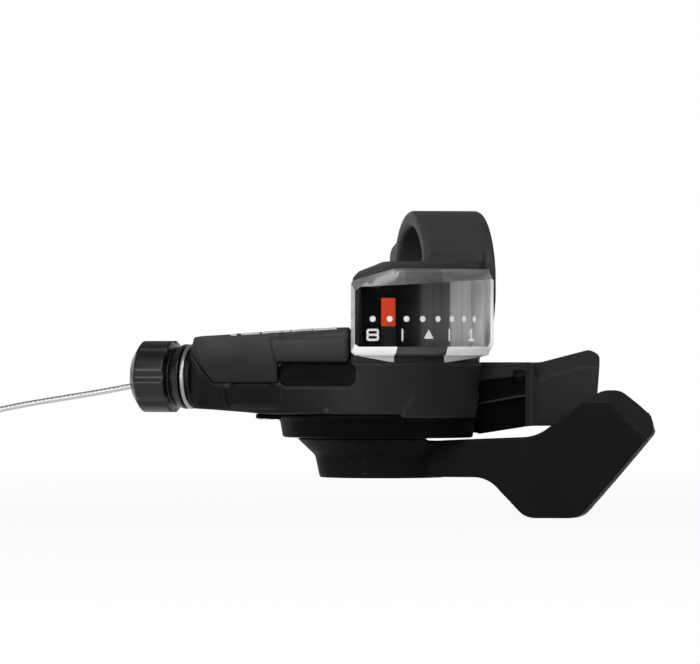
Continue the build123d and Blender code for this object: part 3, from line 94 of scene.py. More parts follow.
# Free wire: its route along the cable line, with the drop below it at each point
WIRE_START = 35.0 * MM
WIRE_DIAMETER = 1.1 * MM
WIRE_ROUTE = (
    mm(0.0, 0.0),
    mm(10.0, 2.0),
    mm(20.5, 3.75),
    mm(31.5, 5.4),
    mm(42.0, 7.6),
    mm(52.0, 11.9),
    mm(60.5, 16.4),
    mm(66.0, 18.7),
)

# Coil of the wire: the points of a turn, those that lead to the next one, and the rings in its section
COIL_RADIUS = 9.9 * MM
COIL_POINTS = 16
COIL_HOP = 4
COIL_RINGS = 3
COIL_SPARE = 0.3

# Display: the direction across its middle
DISPLAY_ANGLE = math.radians(-76.0)
DISPLAY_ACROSS = Vector((-math.sin(DISPLAY_ANGLE), math.cos(DISPLAY_ANGLE), 0))

# Window: its notches, the tabs beside the lower one, and what tells its front, back and bevels apart
LENS_RADIUS = 21.8 * MM
LENS_NOTCH = mm(-7.5, 2.5)
LENS_TOP_NOTCH = mm(-5.9, 1.5)
LENS_TAB = 1.3 * MM
LENS_EVEN = 0.2 * MM
LENS_UPWARD = 0.05
LENS_DOWNWARD = -0.3

# Window: the edges of its front, the right end that stands out, and its broken edges, which carry a painted
# highlight
LENS_EDGE_ENDS = mm(-0.5, 1.1)
LENS_EDGE_LOW = -11.65 * MM
LENS_SWELL = 0.65 * MM
LENS_SWELL_START = 2.0 * MM
LENS_SWELL_RUN = 10.0 * MM
LENS_FLAT = math.radians(0.5)
LENS_CREASE = math.radians(28)
LENS_EDGE_BREAK = 0.2 * MM
LENS_EDGE_SEGMENTS = 2

# Shell of the display: how much lower its lip is moulded, and where the lip is in the solid
LIP_DROP = 1.0 * MM
LIP_TOP = 5.3 * MM
LIP_FOOT = 0.65 * MM
LIP_REACHES = mm(15.9, 20.4)
LIP_SLACK = 0.1 * MM

# Wall of the shell behind the window's right end, which takes the dial's painted reflection: in distance from the
# pivot, degrees round it, and height
WALL_REACHES = mm(14.0, 21.0)
WALL_ANGLES = (-56.0, -5.0)
WALL_HEIGHTS = mm(-12.6, 2.6)

# Front of the arm in plan: two places along the cable line, and how far it stands towards the rider there
FRONT_START = mm(-1.8, 3.92)
FRONT_END = mm(29.09, 6.59)

# Rounded front of the arm: how far its top and bottom lie back, and the runs where that begins and ends
ARM_MIDDLE_Z = -14.5 * MM
ARM_HALF_HEIGHT = 8.0 * MM
ARM_ROUND = 1.3 * MM
ARM_START_RUN = 7.0 * MM
ARM_FRONT_RUN = 3.0 * MM
ARM_NECK = 26.0 * MM
ARM_NECK_RUN = 4.0 * MM

# Fall of the cover's top towards the neck, beyond the solid's
CAP_FALL = 0.54 * MM
CAP_FALL_START = 9.0 * MM
CAP_FALL_RUN = 20.0 * MM
CAP_FALL_Z = -13.0 * MM
CAP_FALL_RISE = 3.0 * MM

# Ledge over the cover's panel: its end, height, slope, rise and depth, and where across the arm it begins
LEDGE_END = 13.4 * MM
LEDGE_END_RUN = 1.0 * MM
LEDGE_Z = -10.0 * MM
LEDGE_SLOPE = 0.0275
LEDGE_RISE = 0.4 * MM
LEDGE_DEPTH = 0.5 * MM
LEDGE_FRONT = 1.0 * MM
LEDGE_FRONT_RUN = 2.0 * MM

# Notch under the cover, where shade is painted: along the cable line, in height, and from the arm's front
NOTCH_RUN = mm(-1.3, 13.2)
NOTCH_HEIGHTS = mm(-18.9, -14.7)
NOTCH_DEPTHS = mm(-1.7, -0.5)

# Collar of the knob: its length, and its radii at its core, at the knob, in the solid and at the ring
KNOB_START = 35.0 * MM
COLLAR_RUN = 2.0 * MM
COLLAR_SPARE = 0.2 * MM
COLLAR_CORE = 4.4 * MM
COLLAR_LOW = 5.1 * MM
COLLAR_SOLID = 5.9 * MM
COLLAR_HIGH = 6.25 * MM

# Square end of the knob: its place from the knob's start towards the ring, its length and its rise
KNOB_END = -0.35 * MM
KNOB_END_RUN = 0.45 * MM
KNOB_END_RISE = 1.75 * MM

# Bevel at the top of the paddle, square to the photograph: its crease, level to the corner and then falling
PADDLE_LEFT = 25.0 * MM
PADDLE_CORNER = 30.3 * MM
PADDLE_CREASE_Z = -22.05 * MM
PADDLE_FALL = 0.958

# Release lever: its direction, and the sunk panels of its arm, where shade is painted
RELEASE_ANGLE = math.radians(-13.0)
RELEASE_ARM_END = 26.8 * MM
RELEASE_PANEL_TOP = -18.2 * MM
RELEASE_PANEL_SLOPE = 0.1
RELEASE_RIB_Z = -22.4 * MM
RELEASE_RECESS_Z = -22.9 * MM
RELEASE_RECESS_SLOPE = 0.18
RELEASE_RECESS_START = 16.8 * MM

# Web at the root of the release lever: its radii, degrees round the pivot, and heights
WEB_INNER = 17.2 * MM
WEB_OUTER = 19.2 * MM
WEB_ANGLES = (-31.0, -10.0)
WEB_HEIGHTS = mm(-27.9, -23.6)
WEB_STEPS = 8

# Print on the inner face of the window: degrees round the pivot, heights and sizes
PRINT_RADIUS = 20.14 * MM
PRINT_THICKNESS = 0.04 * MM
GEARS = 8
DOT_ANGLE = -108.6
DOT_STEP = 8.96
DOT_HEIGHT = -6.45 * MM
DOT_RADIUS = 0.55 * MM
DOT_CORNERS = 28
FIGURE_HEIGHT = -9.4 * MM
FIGURE_TALL = 2.25 * MM
FIGURE_STROKE = 0.42 * MM
EIGHT_WIDE = 2.35 * MM
ONE_WIDE = 1.9 * MM
ONE_ANGLE = -48.5
BAR_WIDE = 0.32 * MM
BAR_ANGLES = (-92.9, -65.6)
TRIANGLE_ANGLE = -78.3
TRIANGLE_WIDE = 2.0 * MM
TRIANGLE_TALL = 1.7 * MM
TRIANGLE_RISE = 0.15 * MM

# Shares of the stroke: the cut corners of the 8, the half stem of the 1, and the left end of its flag
EIGHT_CUT = 0.8
ONE_STEM = 0.7
ONE_FLAG_HIGH = 2.0
ONE_FLAG_LOW = 2.8

# Plain stripe on the cover's front top edge: its dashes, and its rows below the edge and behind it
STRIPE_DASHES = (mm(2.2, 6.9), mm(7.1, 11.1), mm(11.3, 16.6), mm(17.0, 20.6), mm(21.4, 22.6))
STRIPE_DROPS = mm(0.36, 0.24, 0.12, 0.04)
STRIPE_INSETS = mm(0.3, 0.6, 0.9)
STRIPE_SEARCH = mm(0.3, 0.6, 0.9, 1.2, 1.5, 1.8, 2.1, 2.4)
STRIPE_AHEAD = 5.0 * MM
STRIPE_LIFT = 0.03 * MM
STRIPE_STEP = 0.25 * MM

# Stage: pale paper, with the share of white near the part and the distances over which it rises
PAPER_GREY = 0.55
PAPER_SPAN = (0.08, 0.45)
FLOOR_SHARE = 0.93
FLOOR_GAP = 0.1 * MM
FLOOR_HALF = 4.0
BACKDROP_SHARE = 1.0
BACKDROP_RADIUS = 2.2
BACKDROP_TALL = 0.9
BACKDROP_SUNK = 0.01
BACKDROP_START = math.radians(-25)
BACKDROP_SWEEP = math.radians(230)
BACKDROP_STEPS = 48

# Light: the room's strength from low to high, and each lamp's name, place, size and power
ROOM_SPAN = (-0.1, 0.8)
ROOM_STRENGTHS = (0.12, 0.28)
LAMPS = (
    ("key", (-0.5, -0.85, 0.75), 0.6, 8.0),
    ("side", (-0.95, -0.8, 0.16), 0.5, 4.0),
)


# Frame and places
def link(obj):
    """Put an object in the scene."""
    bpy.context.scene.collection.objects.link(obj)
    return obj


def body_of(node):
    """Name of the body that a CAD node belongs to."""
    bodies = frame["record"]["behaviour"]["bodies"]
    return next(name for name, nodes in bodies.items() if node in nodes)


def slot_of(node):
    """Material slot of a CAD node."""
    return next(s["material_slot"] for s in frame["record"]["subparts"] if s["node"] == node)


def within(value, limits):
    """Whether a value lies between two limits."""
    return limits[0] < value < limits[1]


def ease(value):
    """Smooth step from 0 to 1."""
    share = min(1.0, max(0.0, value))
    return share * share * (3 - 2 * share)


def at_cable(along, across, height):
    """Point on the cable line's frame: along the wire, towards the rider, and up."""
    spot = TANGENT + CABLE * along + RIDER_SIDE * across
    return Vector((spot.x, spot.y, height))


def cable_place(point):
    """Place of a point along the cable line, and towards the rider from it."""
    away = point - TANGENT
    return away.dot(CABLE), away.dot(RIDER_SIDE)


def arm_front(along):
    """How far the arm's front stands towards the rider at a place along the cable line."""
    slope = (FRONT_END[1] - FRONT_START[1]) / (FRONT_END[0] - FRONT_START[0])
    return FRONT_START[1] + (along - FRONT_START[0]) * slope


def on_display(angle, height, radius):
    """Point on the curved display: an angle round the pivot, a height and a radius."""
    return Vector((PIVOT.x + radius * math.cos(angle), PIVOT.y + radius * math.sin(angle), height))


def display_place(point):
    """Place of a point across the display, from its middle."""
    return (point - PIVOT).dot(DISPLAY_ACROSS)


def reach_of(point):
    """Distance of a point from the upright pivot."""
    return math.hypot(point.x - PIVOT.x, point.y - PIVOT.y)


# Materials
class Graph:
    """Small helper for node materials on one Principled shader."""

    def __init__(self, name):
        self.material = bpy.data.materials.new(name)
        self.material.use_nodes = True
        self.tree = self.material.node_tree
        self.shader = self.tree.nodes["Principled BSDF"]
        self.place = self.node("ShaderNodeTexCoord").outputs["Object"]

    def node(self, kind, **settings):
        """New node with its settings."""
        made = self.tree.nodes.new(kind)
        for key, value in settings.items():
            setattr(made, key, value)
        return made

    def wire(self, output, target):
        """Join an output to an input."""
        self.tree.links.new(output, target)

    def feed(self, output, socket):
        """Join an output to the shader."""
        self.wire(output, self.shader.inputs[socket])

    def fix(self, **values):
        """Set constant values on the shader's own sockets."""
        for key, value in values.items():
            self.shader.inputs[key.replace("_", " ")].default_value = value

    def mapped(self, scale, turn=(0, 0, 0)):
        """Places on the part, stretched and turned."""
        made = self.node("ShaderNodeMapping")
        made.inputs["Scale"].default_value = scale
        made.inputs["Rotation"].default_value = turn
        self.wire(self.place, made.inputs["Vector"])
        return made.outputs["Vector"]

    def noise(self, scale, detail=3.0, roughness=0.55, stretch=None):
        """Cloudy noise over the part, with scale in features a metre."""
        made = self.node("ShaderNodeTexNoise")
        made.inputs["Scale"].default_value = scale
        made.inputs["Detail"].default_value = detail
        made.inputs["Roughness"].default_value = roughness
        source = self.mapped(stretch) if stretch else self.place
        self.wire(source, made.inputs["Vector"])
        return made.outputs["Fac"]

    def ramp(self, value, stops):
        """Colour that a value picks between stops."""
        made = self.node("ShaderNodeValToRGB")
        ramp = made.color_ramp
        while len(ramp.elements) < len(stops):
            ramp.elements.new(0.5)
        for element, (spot, colour) in zip(ramp.elements, stops):
            element.position = spot
            element.color = (*colour, 1.0)
        self.wire(value, made.inputs["Fac"])
        return made.outputs["Color"]

    def tones(self, value, dark, light, start=0.35, end=0.65):
        """Colour that goes from dark to light as a value rises."""
        return self.ramp(value, ((start, dark), (end, light)))

    def spread(self, value, low, high, start=0.3, end=0.7):
        """Number that goes from low to high as a value rises."""
        made = self.node("ShaderNodeMapRange")
        made.inputs["From Min"].default_value = start
        made.inputs["From Max"].default_value = end
        made.inputs["To Min"].default_value = low
        made.inputs["To Max"].default_value = high
        self.wire(value, made.inputs["Value"])
        return made.outputs["Result"]

    def along(self, axis, start, end):
        """Share of the way between two places on an axis of the part, in mm."""
        apart = self.node("ShaderNodeSeparateXYZ")
        self.wire(self.place, apart.inputs["Vector"])
        return self.spread(apart.outputs[axis], 0.0, 1.0, start * MM, end * MM)

    def blend(self, kind, share, first, second):
        """Mix of two colours."""
        made = self.node("ShaderNodeMixRGB", blend_type=kind)
        if isinstance(share, float):
            made.inputs["Fac"].default_value = share
        else:
            self.wire(share, made.inputs["Fac"])
        self.wire(first, made.inputs["Color1"])
        self.wire(second, made.inputs["Color2"])
        return made.outputs["Color"]

    def join(self, operation, first, second):
        """Sum, product or the like of two numbers."""
        made = self.node("ShaderNodeMath", operation=operation)
        self.wire(first, made.inputs[0])
        self.wire(second, made.inputs[1])
        return made.outputs["Value"]

    def edges(self, low=0.515, high=0.6):
        """Share of paler edges, from use and from a painted highlight, by how sharply the mesh turns outwards."""
        point = self.node("ShaderNodeNewGeometry").outputs["Pointiness"]
        return self.spread(point, 0.0, 1.0, low, high)

    def gloss(self, scale, low, high, detail=3.0):
        """Uneven roughness between two levels."""
        self.feed(self.spread(self.noise(scale, detail), low, high), "Roughness")

    def lit_tone(self, tone, glow):
        """Base colour, which also glows a little where glow is above zero."""
        self.feed(tone, "Base Color")
        if glow:
            self.feed(tone, "Emission Color")
            self.fix(Emission_Strength=glow)

    def bump(self, height, strength, distance):
        """Relief from a number, with its full depth as distance."""
        made = self.node("ShaderNodeBump")
        made.inputs["Strength"].default_value = strength
        made.inputs["Distance"].default_value = distance
        self.wire(height, made.inputs["Height"])
        self.feed(made.outputs["Normal"], "Normal")


def grey(level, warmth=0.0):
    """Neutral colour of a linear level, redder with warmth above zero and bluer below it."""
    return (level * (1 + warmth), level, level * (1 - warmth))


def moulded(name, dark, light, rough, specular, grain=2600.0, depth=0.25, fars=(), edge_wear_and_highlight=1.8):
    """Moulded plastic: fine eroded grain, slow changes of tone, edges paler from use and from a painted highlight,
    and uneven gloss.

    Fars are other tones further along an axis of the part, some of them painted light and shade, and
    edge_wear_and_highlight is how much paler the edges are.
    """
    graph = Graph(name)
    clouds = graph.noise(scale=160.0, detail=4.0)
    tone = graph.tones(clouds, dark, light, start=0.3, end=0.7)
    for axis, start, end, far_dark, far_light in fars:
        other = graph.tones(clouds, far_dark, far_light, start=0.3, end=0.7)
        tone = graph.blend("MIX", graph.along(axis, start, end), tone, other)
    worn_and_lit_dark, worn_and_lit_light = ([edge_wear_and_highlight * part for part in colour] for colour in (dark, light))
    worn_and_lit = graph.tones(clouds, worn_and_lit_dark, worn_and_lit_light, start=0.3, end=0.7)
    # Paler edges: partly use, partly a painted highlight
    graph.feed(graph.blend("MIX", graph.edges(), tone, worn_and_lit), "Base Color")
    graph.gloss(scale=420.0, low=rough - 0.05, high=rough + 0.05)
    graph.fix(Specular_IOR_Level=specular)
    graph.bump(graph.noise(scale=grain, detail=2.0), strength=depth, distance=0.06 * MM)
    return graph.material


def metal(name, dark, light, rough, marks_depth=0.12):
    """Bare metal with fine drawn or turned marks."""
    graph = Graph(name)
    marks = graph.noise(scale=900.0, detail=4.0, roughness=0.6)
    graph.feed(graph.tones(marks, dark, light), "Base Color")
    graph.gloss(scale=300.0, low=rough - 0.06, high=rough + 0.08)
    graph.fix(Metallic=1.0)
    graph.bump(marks, strength=marks_depth, distance=0.03 * MM)
    return graph.material


def stranded(name, dark, light, rough, pitch):
    """Laid steel wire: slanted strands along the cable line, with painted shade that darkens the grooves between
    them.
    """
    graph = Graph(name)
    wave = graph.node("ShaderNodeTexWave", bands_direction="DIAGONAL")
    # Bands of a wave texture of scale 1 lie this far apart
    unit_pitch = 2 * math.pi / 10
    wave.inputs["Scale"].default_value = unit_pitch / pitch
    turn = (0, 0, -math.atan2(CABLE.y, CABLE.x))
    graph.wire(graph.mapped((1, 1, 1), turn), wave.inputs["Vector"])
    strands = wave.outputs["Fac"]
    graph.feed(graph.tones(strands, dark, light, start=0.0, end=0.6), "Base Color")
    graph.gloss(scale=600.0, low=rough - 0.06, high=rough + 0.08)
    graph.fix(Metallic=1.0)
    graph.bump(strands, strength=0.25, distance=0.06 * MM)
    return graph.material


def clear(name):
    """Clear moulded plastic with faint waviness."""
    graph = Graph(name)
    tint = graph.tones(graph.noise(scale=60.0), (0.93, 0.94, 0.95), (0.97, 0.975, 0.98), start=0.3, end=0.7)
    graph.feed(tint, "Base Color")
    graph.gloss(scale=200.0, low=0.01, high=0.04)
    graph.fix(Transmission_Weight=1.0, IOR=1.12)
    graph.bump(graph.noise(scale=90.0, detail=1.0), strength=0.01, distance=0.05 * MM)
    return graph.material


def painted_light_bevel(name, dark, light, glow=0.0):
    """Bevel of the window: opaque plastic with moulding streaks, in a tone of painted light for the light that the
    clear bevel carries, which may also glow.
    """
    graph = Graph(name)
    streaks = graph.noise(scale=260.0, roughness=0.6, stretch=(0.35, 0.35, 2.5))
    graph.lit_tone(graph.tones(streaks, dark, light), glow)
    graph.gloss(scale=500.0, low=0.16, high=0.3)
    graph.bump(streaks, strength=0.06, distance=0.05 * MM)
    return graph.material


def printed(name, dark, light, glow=0.0):
    """Screen print: flat ink with a slight tooth, which may glow as painted light."""
    graph = Graph(name)
    graph.lit_tone(graph.tones(graph.noise(scale=1500.0), dark, light), glow)
    graph.gloss(scale=800.0, low=0.5, high=0.65)
    graph.bump(graph.noise(scale=3000.0), strength=0.1, distance=0.02 * MM)
    return graph.material


def dial(name):
    """Dark plate behind the window: black on the left, grey bands to the right that are a painted reflection,
    faint upright streaks.
    """
    graph = Graph(name)
    reflection_steps = (
        (0.0, grey(0.001)),
        (0.36, grey(0.0015)),
        (0.44, grey(0.012)),
        (0.475, grey(0.03)),
        (0.50, grey(0.095)),
        (0.68, grey(0.11)),
        (0.70, grey(0.52, 0.01)),
        (1.0, grey(0.68, 0.01)),
    )
    # Black on the left, then grey bands to the right: a painted reflection
    tone = graph.ramp(graph.along("X", -24.0, 6.0), reflection_steps)
    upright = graph.noise(scale=900.0, detail=2.0, roughness=0.5, stretch=(1.0, 1.0, 0.04))
    streaks = graph.tones(upright, grey(0.8), grey(1.0))
    graph.feed(graph.blend("MULTIPLY", 1.0, tone, streaks), "Base Color")
    graph.gloss(scale=500.0, low=0.45, high=0.6)
    graph.fix(Specular_IOR_Level=0.02)
    graph.bump(graph.noise(scale=1600.0), strength=0.1, distance=0.03 * MM)
    return graph.material


# Tones further along the part: an axis, the places in mm where they begin and are full, and the tones
# Painted light and shade on the body: darker towards the arm's end, darker towards the drum's right, lighter at
# the top
BODY_PAINTED_LIGHT = (
    ("X", -26.0, -36.0, grey(0.0045), grey(0.007)),
    ("X", -14.0, 2.0, grey(0.009), grey(0.012)),
    ("Z", -6.0, 0.0, grey(0.040), grey(0.048)),
)
# Painted light on the cover: lighter towards its top
COVER_PAINTED_LIGHT = (("Z", -14.5, -10.0, grey(0.037, -0.03), grey(0.046, -0.03)),)
PAD_TONES = (("X", 13.6, 14.6, grey(0.023, 0.05), grey(0.029, 0.05)),)

# Finish of each material slot
MATERIALS = {
    "housing_plastic": moulded(
        "housing_plastic", grey(0.018), grey(0.022), rough=0.48, specular=0.1, fars=BODY_PAINTED_LIGHT, edge_wear_and_highlight=2.6
    ),
    "cover_plastic": moulded(
        "cover_plastic", grey(0.012, -0.03), grey(0.016, -0.03), rough=0.46, specular=0.14, fars=COVER_PAINTED_LIGHT
    ),
    "lever_plastic": moulded("lever_plastic", grey(0.0088), grey(0.0108), rough=0.46, specular=0.02),
    "knob_plastic": moulded(
        "knob_plastic", grey(0.0025), grey(0.0035), rough=0.3, specular=0.4,
        grain=1800.0, depth=0.02, edge_wear_and_highlight=1.1
    ),
    "clear_plastic": clear("clear_plastic"),
    "display_plastic": dial("display_plastic"),
    "flag_plastic": moulded(
        "flag_plastic", (0.56, 0.042, 0.010), (0.62, 0.052, 0.014), rough=0.4, specular=0.1, edge_wear_and_highlight=1.05
    ),
    "spool_plastic": moulded("spool_plastic", grey(0.004), grey(0.006), rough=0.45, specular=0.06),
    "steel": metal("steel", grey(0.42), grey(0.56), rough=0.32),
    "spring_steel": metal("spring_steel", grey(0.36, -0.03), grey(0.47, -0.03), rough=0.35),
    "bright_ring": metal("bright_ring", grey(0.30), grey(0.37), rough=0.36, marks_depth=0.02),
    "brass": metal("brass", (0.60, 0.44, 0.18), (0.70, 0.53, 0.24), rough=0.3),
    "wire_steel": stranded("wire_steel", grey(0.48), grey(0.60), rough=0.4, pitch=0.7 * MM),
    "tie_plastic": moulded("tie_plastic", grey(0.015), grey(0.022), rough=0.5, specular=0.4),
}

# Finish of the nodes that differ from their slot
OTHER_FINISH = {
    # The cup is darker than the housing: its own black, with painted shade from under the drum
    "bottom_cover": moulded("cup_plastic", grey(0.0022), grey(0.0032), rough=0.5, specular=0.03),
    "release_lever": moulded(
        "release_plastic", grey(0.018), grey(0.023), rough=0.46, specular=0.08, fars=PAD_TONES
    ),
    # Near-black metal on the insert beside the ring
    "adjuster_insert": metal("insert_dark_metal", grey(0.010), grey(0.018), rough=0.45),
}

# Finish of zones with painted shade and light, print, and bevels with painted light
# Painted highlight on the paddle's top bevel, lighter than the lever
PADDLE_BEVEL_PAINTED_LIGHT = moulded("paddle_bevel_painted_light", grey(0.013), grey(0.017), rough=0.46, specular=0.1)
# Painted shade in the notch under the cover
NOTCH_PAINTED_SHADE = moulded("notch_painted_shade", grey(0.005), grey(0.007), rough=0.5, specular=0.03)
# Painted shade in the sunk panels and along the bottom of the release lever's arm
RELEASE_PAINTED_SHADE = moulded("release_recess_painted_shade", grey(0.0018), grey(0.0028), rough=0.5, specular=0.02)
# White print with a strong glow: painted light
PRINT_WHITE = printed("print_white", grey(0.32), grey(0.36), glow=1.4)
STRIPE_PALE = printed("stripe_pale", grey(0.46), grey(0.56))
# Window: clear plastic, then painted light on its bevels as lit and shaded tones of one plastic
LENS_CLEAR_AND_PAINTED_LIGHT = (
    MATERIALS["clear_plastic"],
    painted_light_bevel("bevel_bright", grey(0.80), grey(0.92), glow=0.32),
    painted_light_bevel("bevel_pale", grey(0.45, 0.03), grey(0.62, 0.03)),
    painted_light_bevel("bevel_grey", grey(0.12, -0.02), grey(0.22, -0.02)),
    painted_light_bevel("bevel_dim", grey(0.09), grey(0.16)),
    painted_light_bevel("bevel_dark", grey(0.03), grey(0.07)),
)
CLEAR, BRIGHT, PALE, GREY, DIM, DARK = range(len(LENS_CLEAR_AND_PAINTED_LIGHT))


def finish_of(node):
    """Material of a CAD node: its slot's, or its own where it differs."""
    return OTHER_FINISH.get(node, MATERIALS[slot_of(node)])


def dress_nodes():
    """Give every CAD node its material."""
    for name, node in frame["nodes"].items():
        node.data.materials.clear()
        node.data.materials.append(finish_of(name))


# Pieces
def node_shape(node):
    """Editable copy of a CAD node's mesh, with its split corners joined."""
    shape = bmesh.new()
    shape.from_mesh(frame["nodes"][node].data)
    bmesh.ops.remove_doubles(shape, verts=shape.verts, dist=MERGE_DISTANCE)
    return shape


def new_piece(name, shape, *materials):
    """Object from an editable mesh, which it uses up."""
    mesh = bpy.data.meshes.new(name)
    shape.to_mesh(mesh)
    shape.free()
    for material in materials:
        mesh.materials.append(material)
    return link(bpy.data.objects.new(name, mesh))


def settle(piece):
    """Apply a piece's modifiers."""
    graph = bpy.context.evaluated_depsgraph_get()
    mesh = bpy.data.meshes.new_from_object(piece.evaluated_get(graph))
    piece.modifiers.clear()
    piece.data = mesh
    return mesh


def stand_for(piece, node):
    """Put a piece in the place of a CAD node."""
    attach(piece, body_of(node))
    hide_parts(node)


def rounded(node, name, voxel, passes, prepare=None, zones=(), bend=None):
    """Moulded look for a CAD node: its solid with every edge softly rounded.

    Prepare edits the copy of the solid, zones are other materials, most of them painted shade, light or
    reflection, and where they lie, and bend moves points.
    """
    shape = node_shape(node)
    if prepare:
        prepare(shape)
    piece = new_piece(name, shape, finish_of(node), *(material for material, inside in zones))
    remesh = piece.modifiers.new("remesh", "REMESH")
    remesh.mode = "VOXEL"
    remesh.voxel_size = voxel
    smooth = piece.modifiers.new("smooth", "SMOOTH")
    smooth.factor = SMOOTH_FACTOR
    smooth.iterations = passes
    mesh = settle(piece)
    mesh.shade_smooth()
    for index, (material, inside) in enumerate(zones, 1):
        for face in mesh.polygons:
            if inside(face.center):
                face.material_index = index
    if bend:
        for vert in mesh.vertices:
            vert.co = bend(vert.co)
    stand_for(piece, node)
    return piece


# Housing
def lower_lip(shape):
    """Lower the lip of the display shell: its flat top, and the slant left of the window's notch."""
    for vert in shape.verts:
        flat_top = abs(vert.co.z - LIP_TOP) < TOUCH
        left = display_place(vert.co) < LENS_NOTCH[0] + LIP_SLACK
        slant = left and within(reach_of(vert.co), LIP_REACHES) and within(vert.co.z, (LIP_FOOT, LIP_TOP))
        if flat_top or slant:
            vert.co.z -= LIP_DROP


def round_arm(point):
    """Lay the top and bottom of the arm's front back, so that its section is rounded."""
    along, across = cable_place(point)
    neck = ease((ARM_NECK + ARM_NECK_RUN - along) / ARM_NECK_RUN)
    share = ease(along / ARM_START_RUN) * ease(across / ARM_FRONT_RUN) * neck
    depth = ARM_ROUND * ((point.z - ARM_MIDDLE_Z) / ARM_HALF_HEIGHT) ** 2
    return point - RIDER_SIDE * (depth * share)


def in_notch(point):
    """Whether a point lies in the notch under the cover, where shade is painted."""
    along, across = cable_place(point)
    depth = across - arm_front(along)
    return within(along, NOTCH_RUN) and within(point.z, NOTCH_HEIGHTS) and within(depth, NOTCH_DEPTHS)


def in_display_end(point):
    """Whether a point lies on the wall behind the window's right end, which takes the dial's painted reflection.
    """
    angle = math.degrees(math.atan2(point.y - PIVOT.y, point.x - PIVOT.x))
    ring = within(reach_of(point), WALL_REACHES) and within(angle, WALL_ANGLES)
    return ring and within(point.z, WALL_HEIGHTS)


# Cover
def shape_cap(point):
    """Round the cover like the arm, lower its top towards the neck, and step back above its panel."""
    along, across = cable_place(point)
    high = ease((point.z - CAP_FALL_Z) / CAP_FALL_RISE)
    fall = CAP_FALL * max(0.0, (along - CAP_FALL_START) / CAP_FALL_RUN)
    above = min(1.0, max(0.0, (point.z - LEDGE_Z + LEDGE_SLOPE * along) / LEDGE_RISE))
    end = ease((LEDGE_END - along) / LEDGE_END_RUN)
    step = LEDGE_DEPTH * above * end * ease((across - LEDGE_FRONT) / LEDGE_FRONT_RUN)
    return round_arm(point) - RIDER_SIDE * step - UP * (fall * high)


# Knob
def shape_knob(point):
    """Give the knob a square end, and let its collar widen from there to the ring."""
    along, across = cable_place(point)
    reach = math.hypot(across, point.z - CABLE_Z)
    gap = KNOB_START - along
    if reach < COLLAR_CORE or not within(gap, (KNOB_END - KNOB_END_RUN, COLLAR_RUN + COLLAR_SPARE)):
        return point
    if gap < KNOB_END:
        new = min(reach, COLLAR_LOW + (KNOB_END - gap) / KNOB_END_RUN * KNOB_END_RISE)
    else:
        share = min(1.0, (gap - KNOB_END) / (COLLAR_RUN - KNOB_END))
        dome = COLLAR_LOW + (COLLAR_HIGH - COLLAR_LOW) * math.sqrt(share)
        widen = (dome - COLLAR_CORE) / (COLLAR_SOLID - COLLAR_CORE)
        new = min(dome, COLLAR_CORE + (reach - COLLAR_CORE) * widen)
    axis = at_cable(along, 0, CABLE_Z)
    return axis + (point - axis) * (new / reach)


# Levers
def in_paddle_bevel(point):
    """Whether a point lies on the bevel at the top of the paddle, where a painted highlight goes."""
    across = point.x * math.cos(VIEW_YAW) - point.y * math.sin(VIEW_YAW)
    crease = PADDLE_CREASE_Z - PADDLE_FALL * max(0.0, across - PADDLE_CORNER)
    return across > PADDLE_LEFT and point.z > crease


def in_release_recess(point):
    """Whether a point lies in the sunk panels of the release lever's arm, where shade is painted."""
    away = point - PIVOT
    along = away.x * math.cos(RELEASE_ANGLE) + away.y * math.sin(RELEASE_ANGLE)
    run = along - RELEASE_RECESS_START
    low = point.z < RELEASE_RECESS_Z + RELEASE_RECESS_SLOPE * run
    rib = RELEASE_RIB_Z + RELEASE_RECESS_SLOPE * run
    panel = within(point.z, (rib, RELEASE_PANEL_TOP + RELEASE_PANEL_SLOPE * run))
    return along < RELEASE_ARM_END and (low or panel)


def add_web(shape):
    """Curved web at the root of the release lever's arm, as one more closed block of the copy."""
    low, high = WEB_HEIGHTS
    corners = ((WEB_INNER, low), (WEB_OUTER, low), (WEB_OUTER, high), (WEB_INNER, high))
    start, end = WEB_ANGLES
    rings = []
    for step in range(WEB_STEPS + 1):
        angle = math.radians(start + (end - start) * step / WEB_STEPS)
        rings.append([shape.verts.new(on_display(angle, height, radius)) for radius, height in corners])
    for first, second in zip(rings, rings[1:]):
        for corner in range(len(corners)):
            shape.faces.new((first[corner], first[corner - 1], second[corner - 1], second[corner]))
    shape.faces.new(rings[0])
    shape.faces.new(reversed(rings[-1]))
    bmesh.ops.recalc_face_normals(shape, faces=shape.faces)


# Wire
def coil_cells():
    """Places of the turns in the coil's section: rings of six round a middle one, snaked row by row."""
    rows = []
    for row in range(-COIL_RINGS, COIL_RINGS + 1):
        cells = []
        for column in range(-COIL_RINGS, COIL_RINGS + 1):
            spot = Vector((column + row / 2, row * math.sqrt(3) / 2))
            if spot.length < COIL_RINGS - COIL_SPARE:
                cells.append(spot * WIRE_DIAMETER)
        cells.sort(key=lambda cell: cell.x, reverse=row % 2 == 0)
        rows.extend(cells)
    return list(reversed(rows))


def coil_points(cells, after_point):
    """Control points of the coil's turns, which go on from the end of the route."""
    low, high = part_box("wire_coil")
    centre = (low + high) / 2
    grow = 1 / math.cos(math.pi / COIL_POINTS)
    first = after_point - centre
    start = math.atan2(first.y, first.x)
    way = -1 if RIDER_SIDE.cross(CABLE).z > 0 else 1
    points = []
    for turn, cell in enumerate(cells):
        after = cells[min(turn + 1, len(cells) - 1)]
        for step in range(COIL_POINTS):
            share = max(0.0, (step - COIL_POINTS + COIL_HOP) / COIL_HOP)
            spot = cell.lerp(after, share)
            angle = start + way * 2 * math.pi * (step + 1) / COIL_POINTS
            radius = (COIL_RADIUS + spot.x) * grow
            points.append(centre + Vector((radius * math.cos(angle), radius * math.sin(angle), spot.y)))
    return points


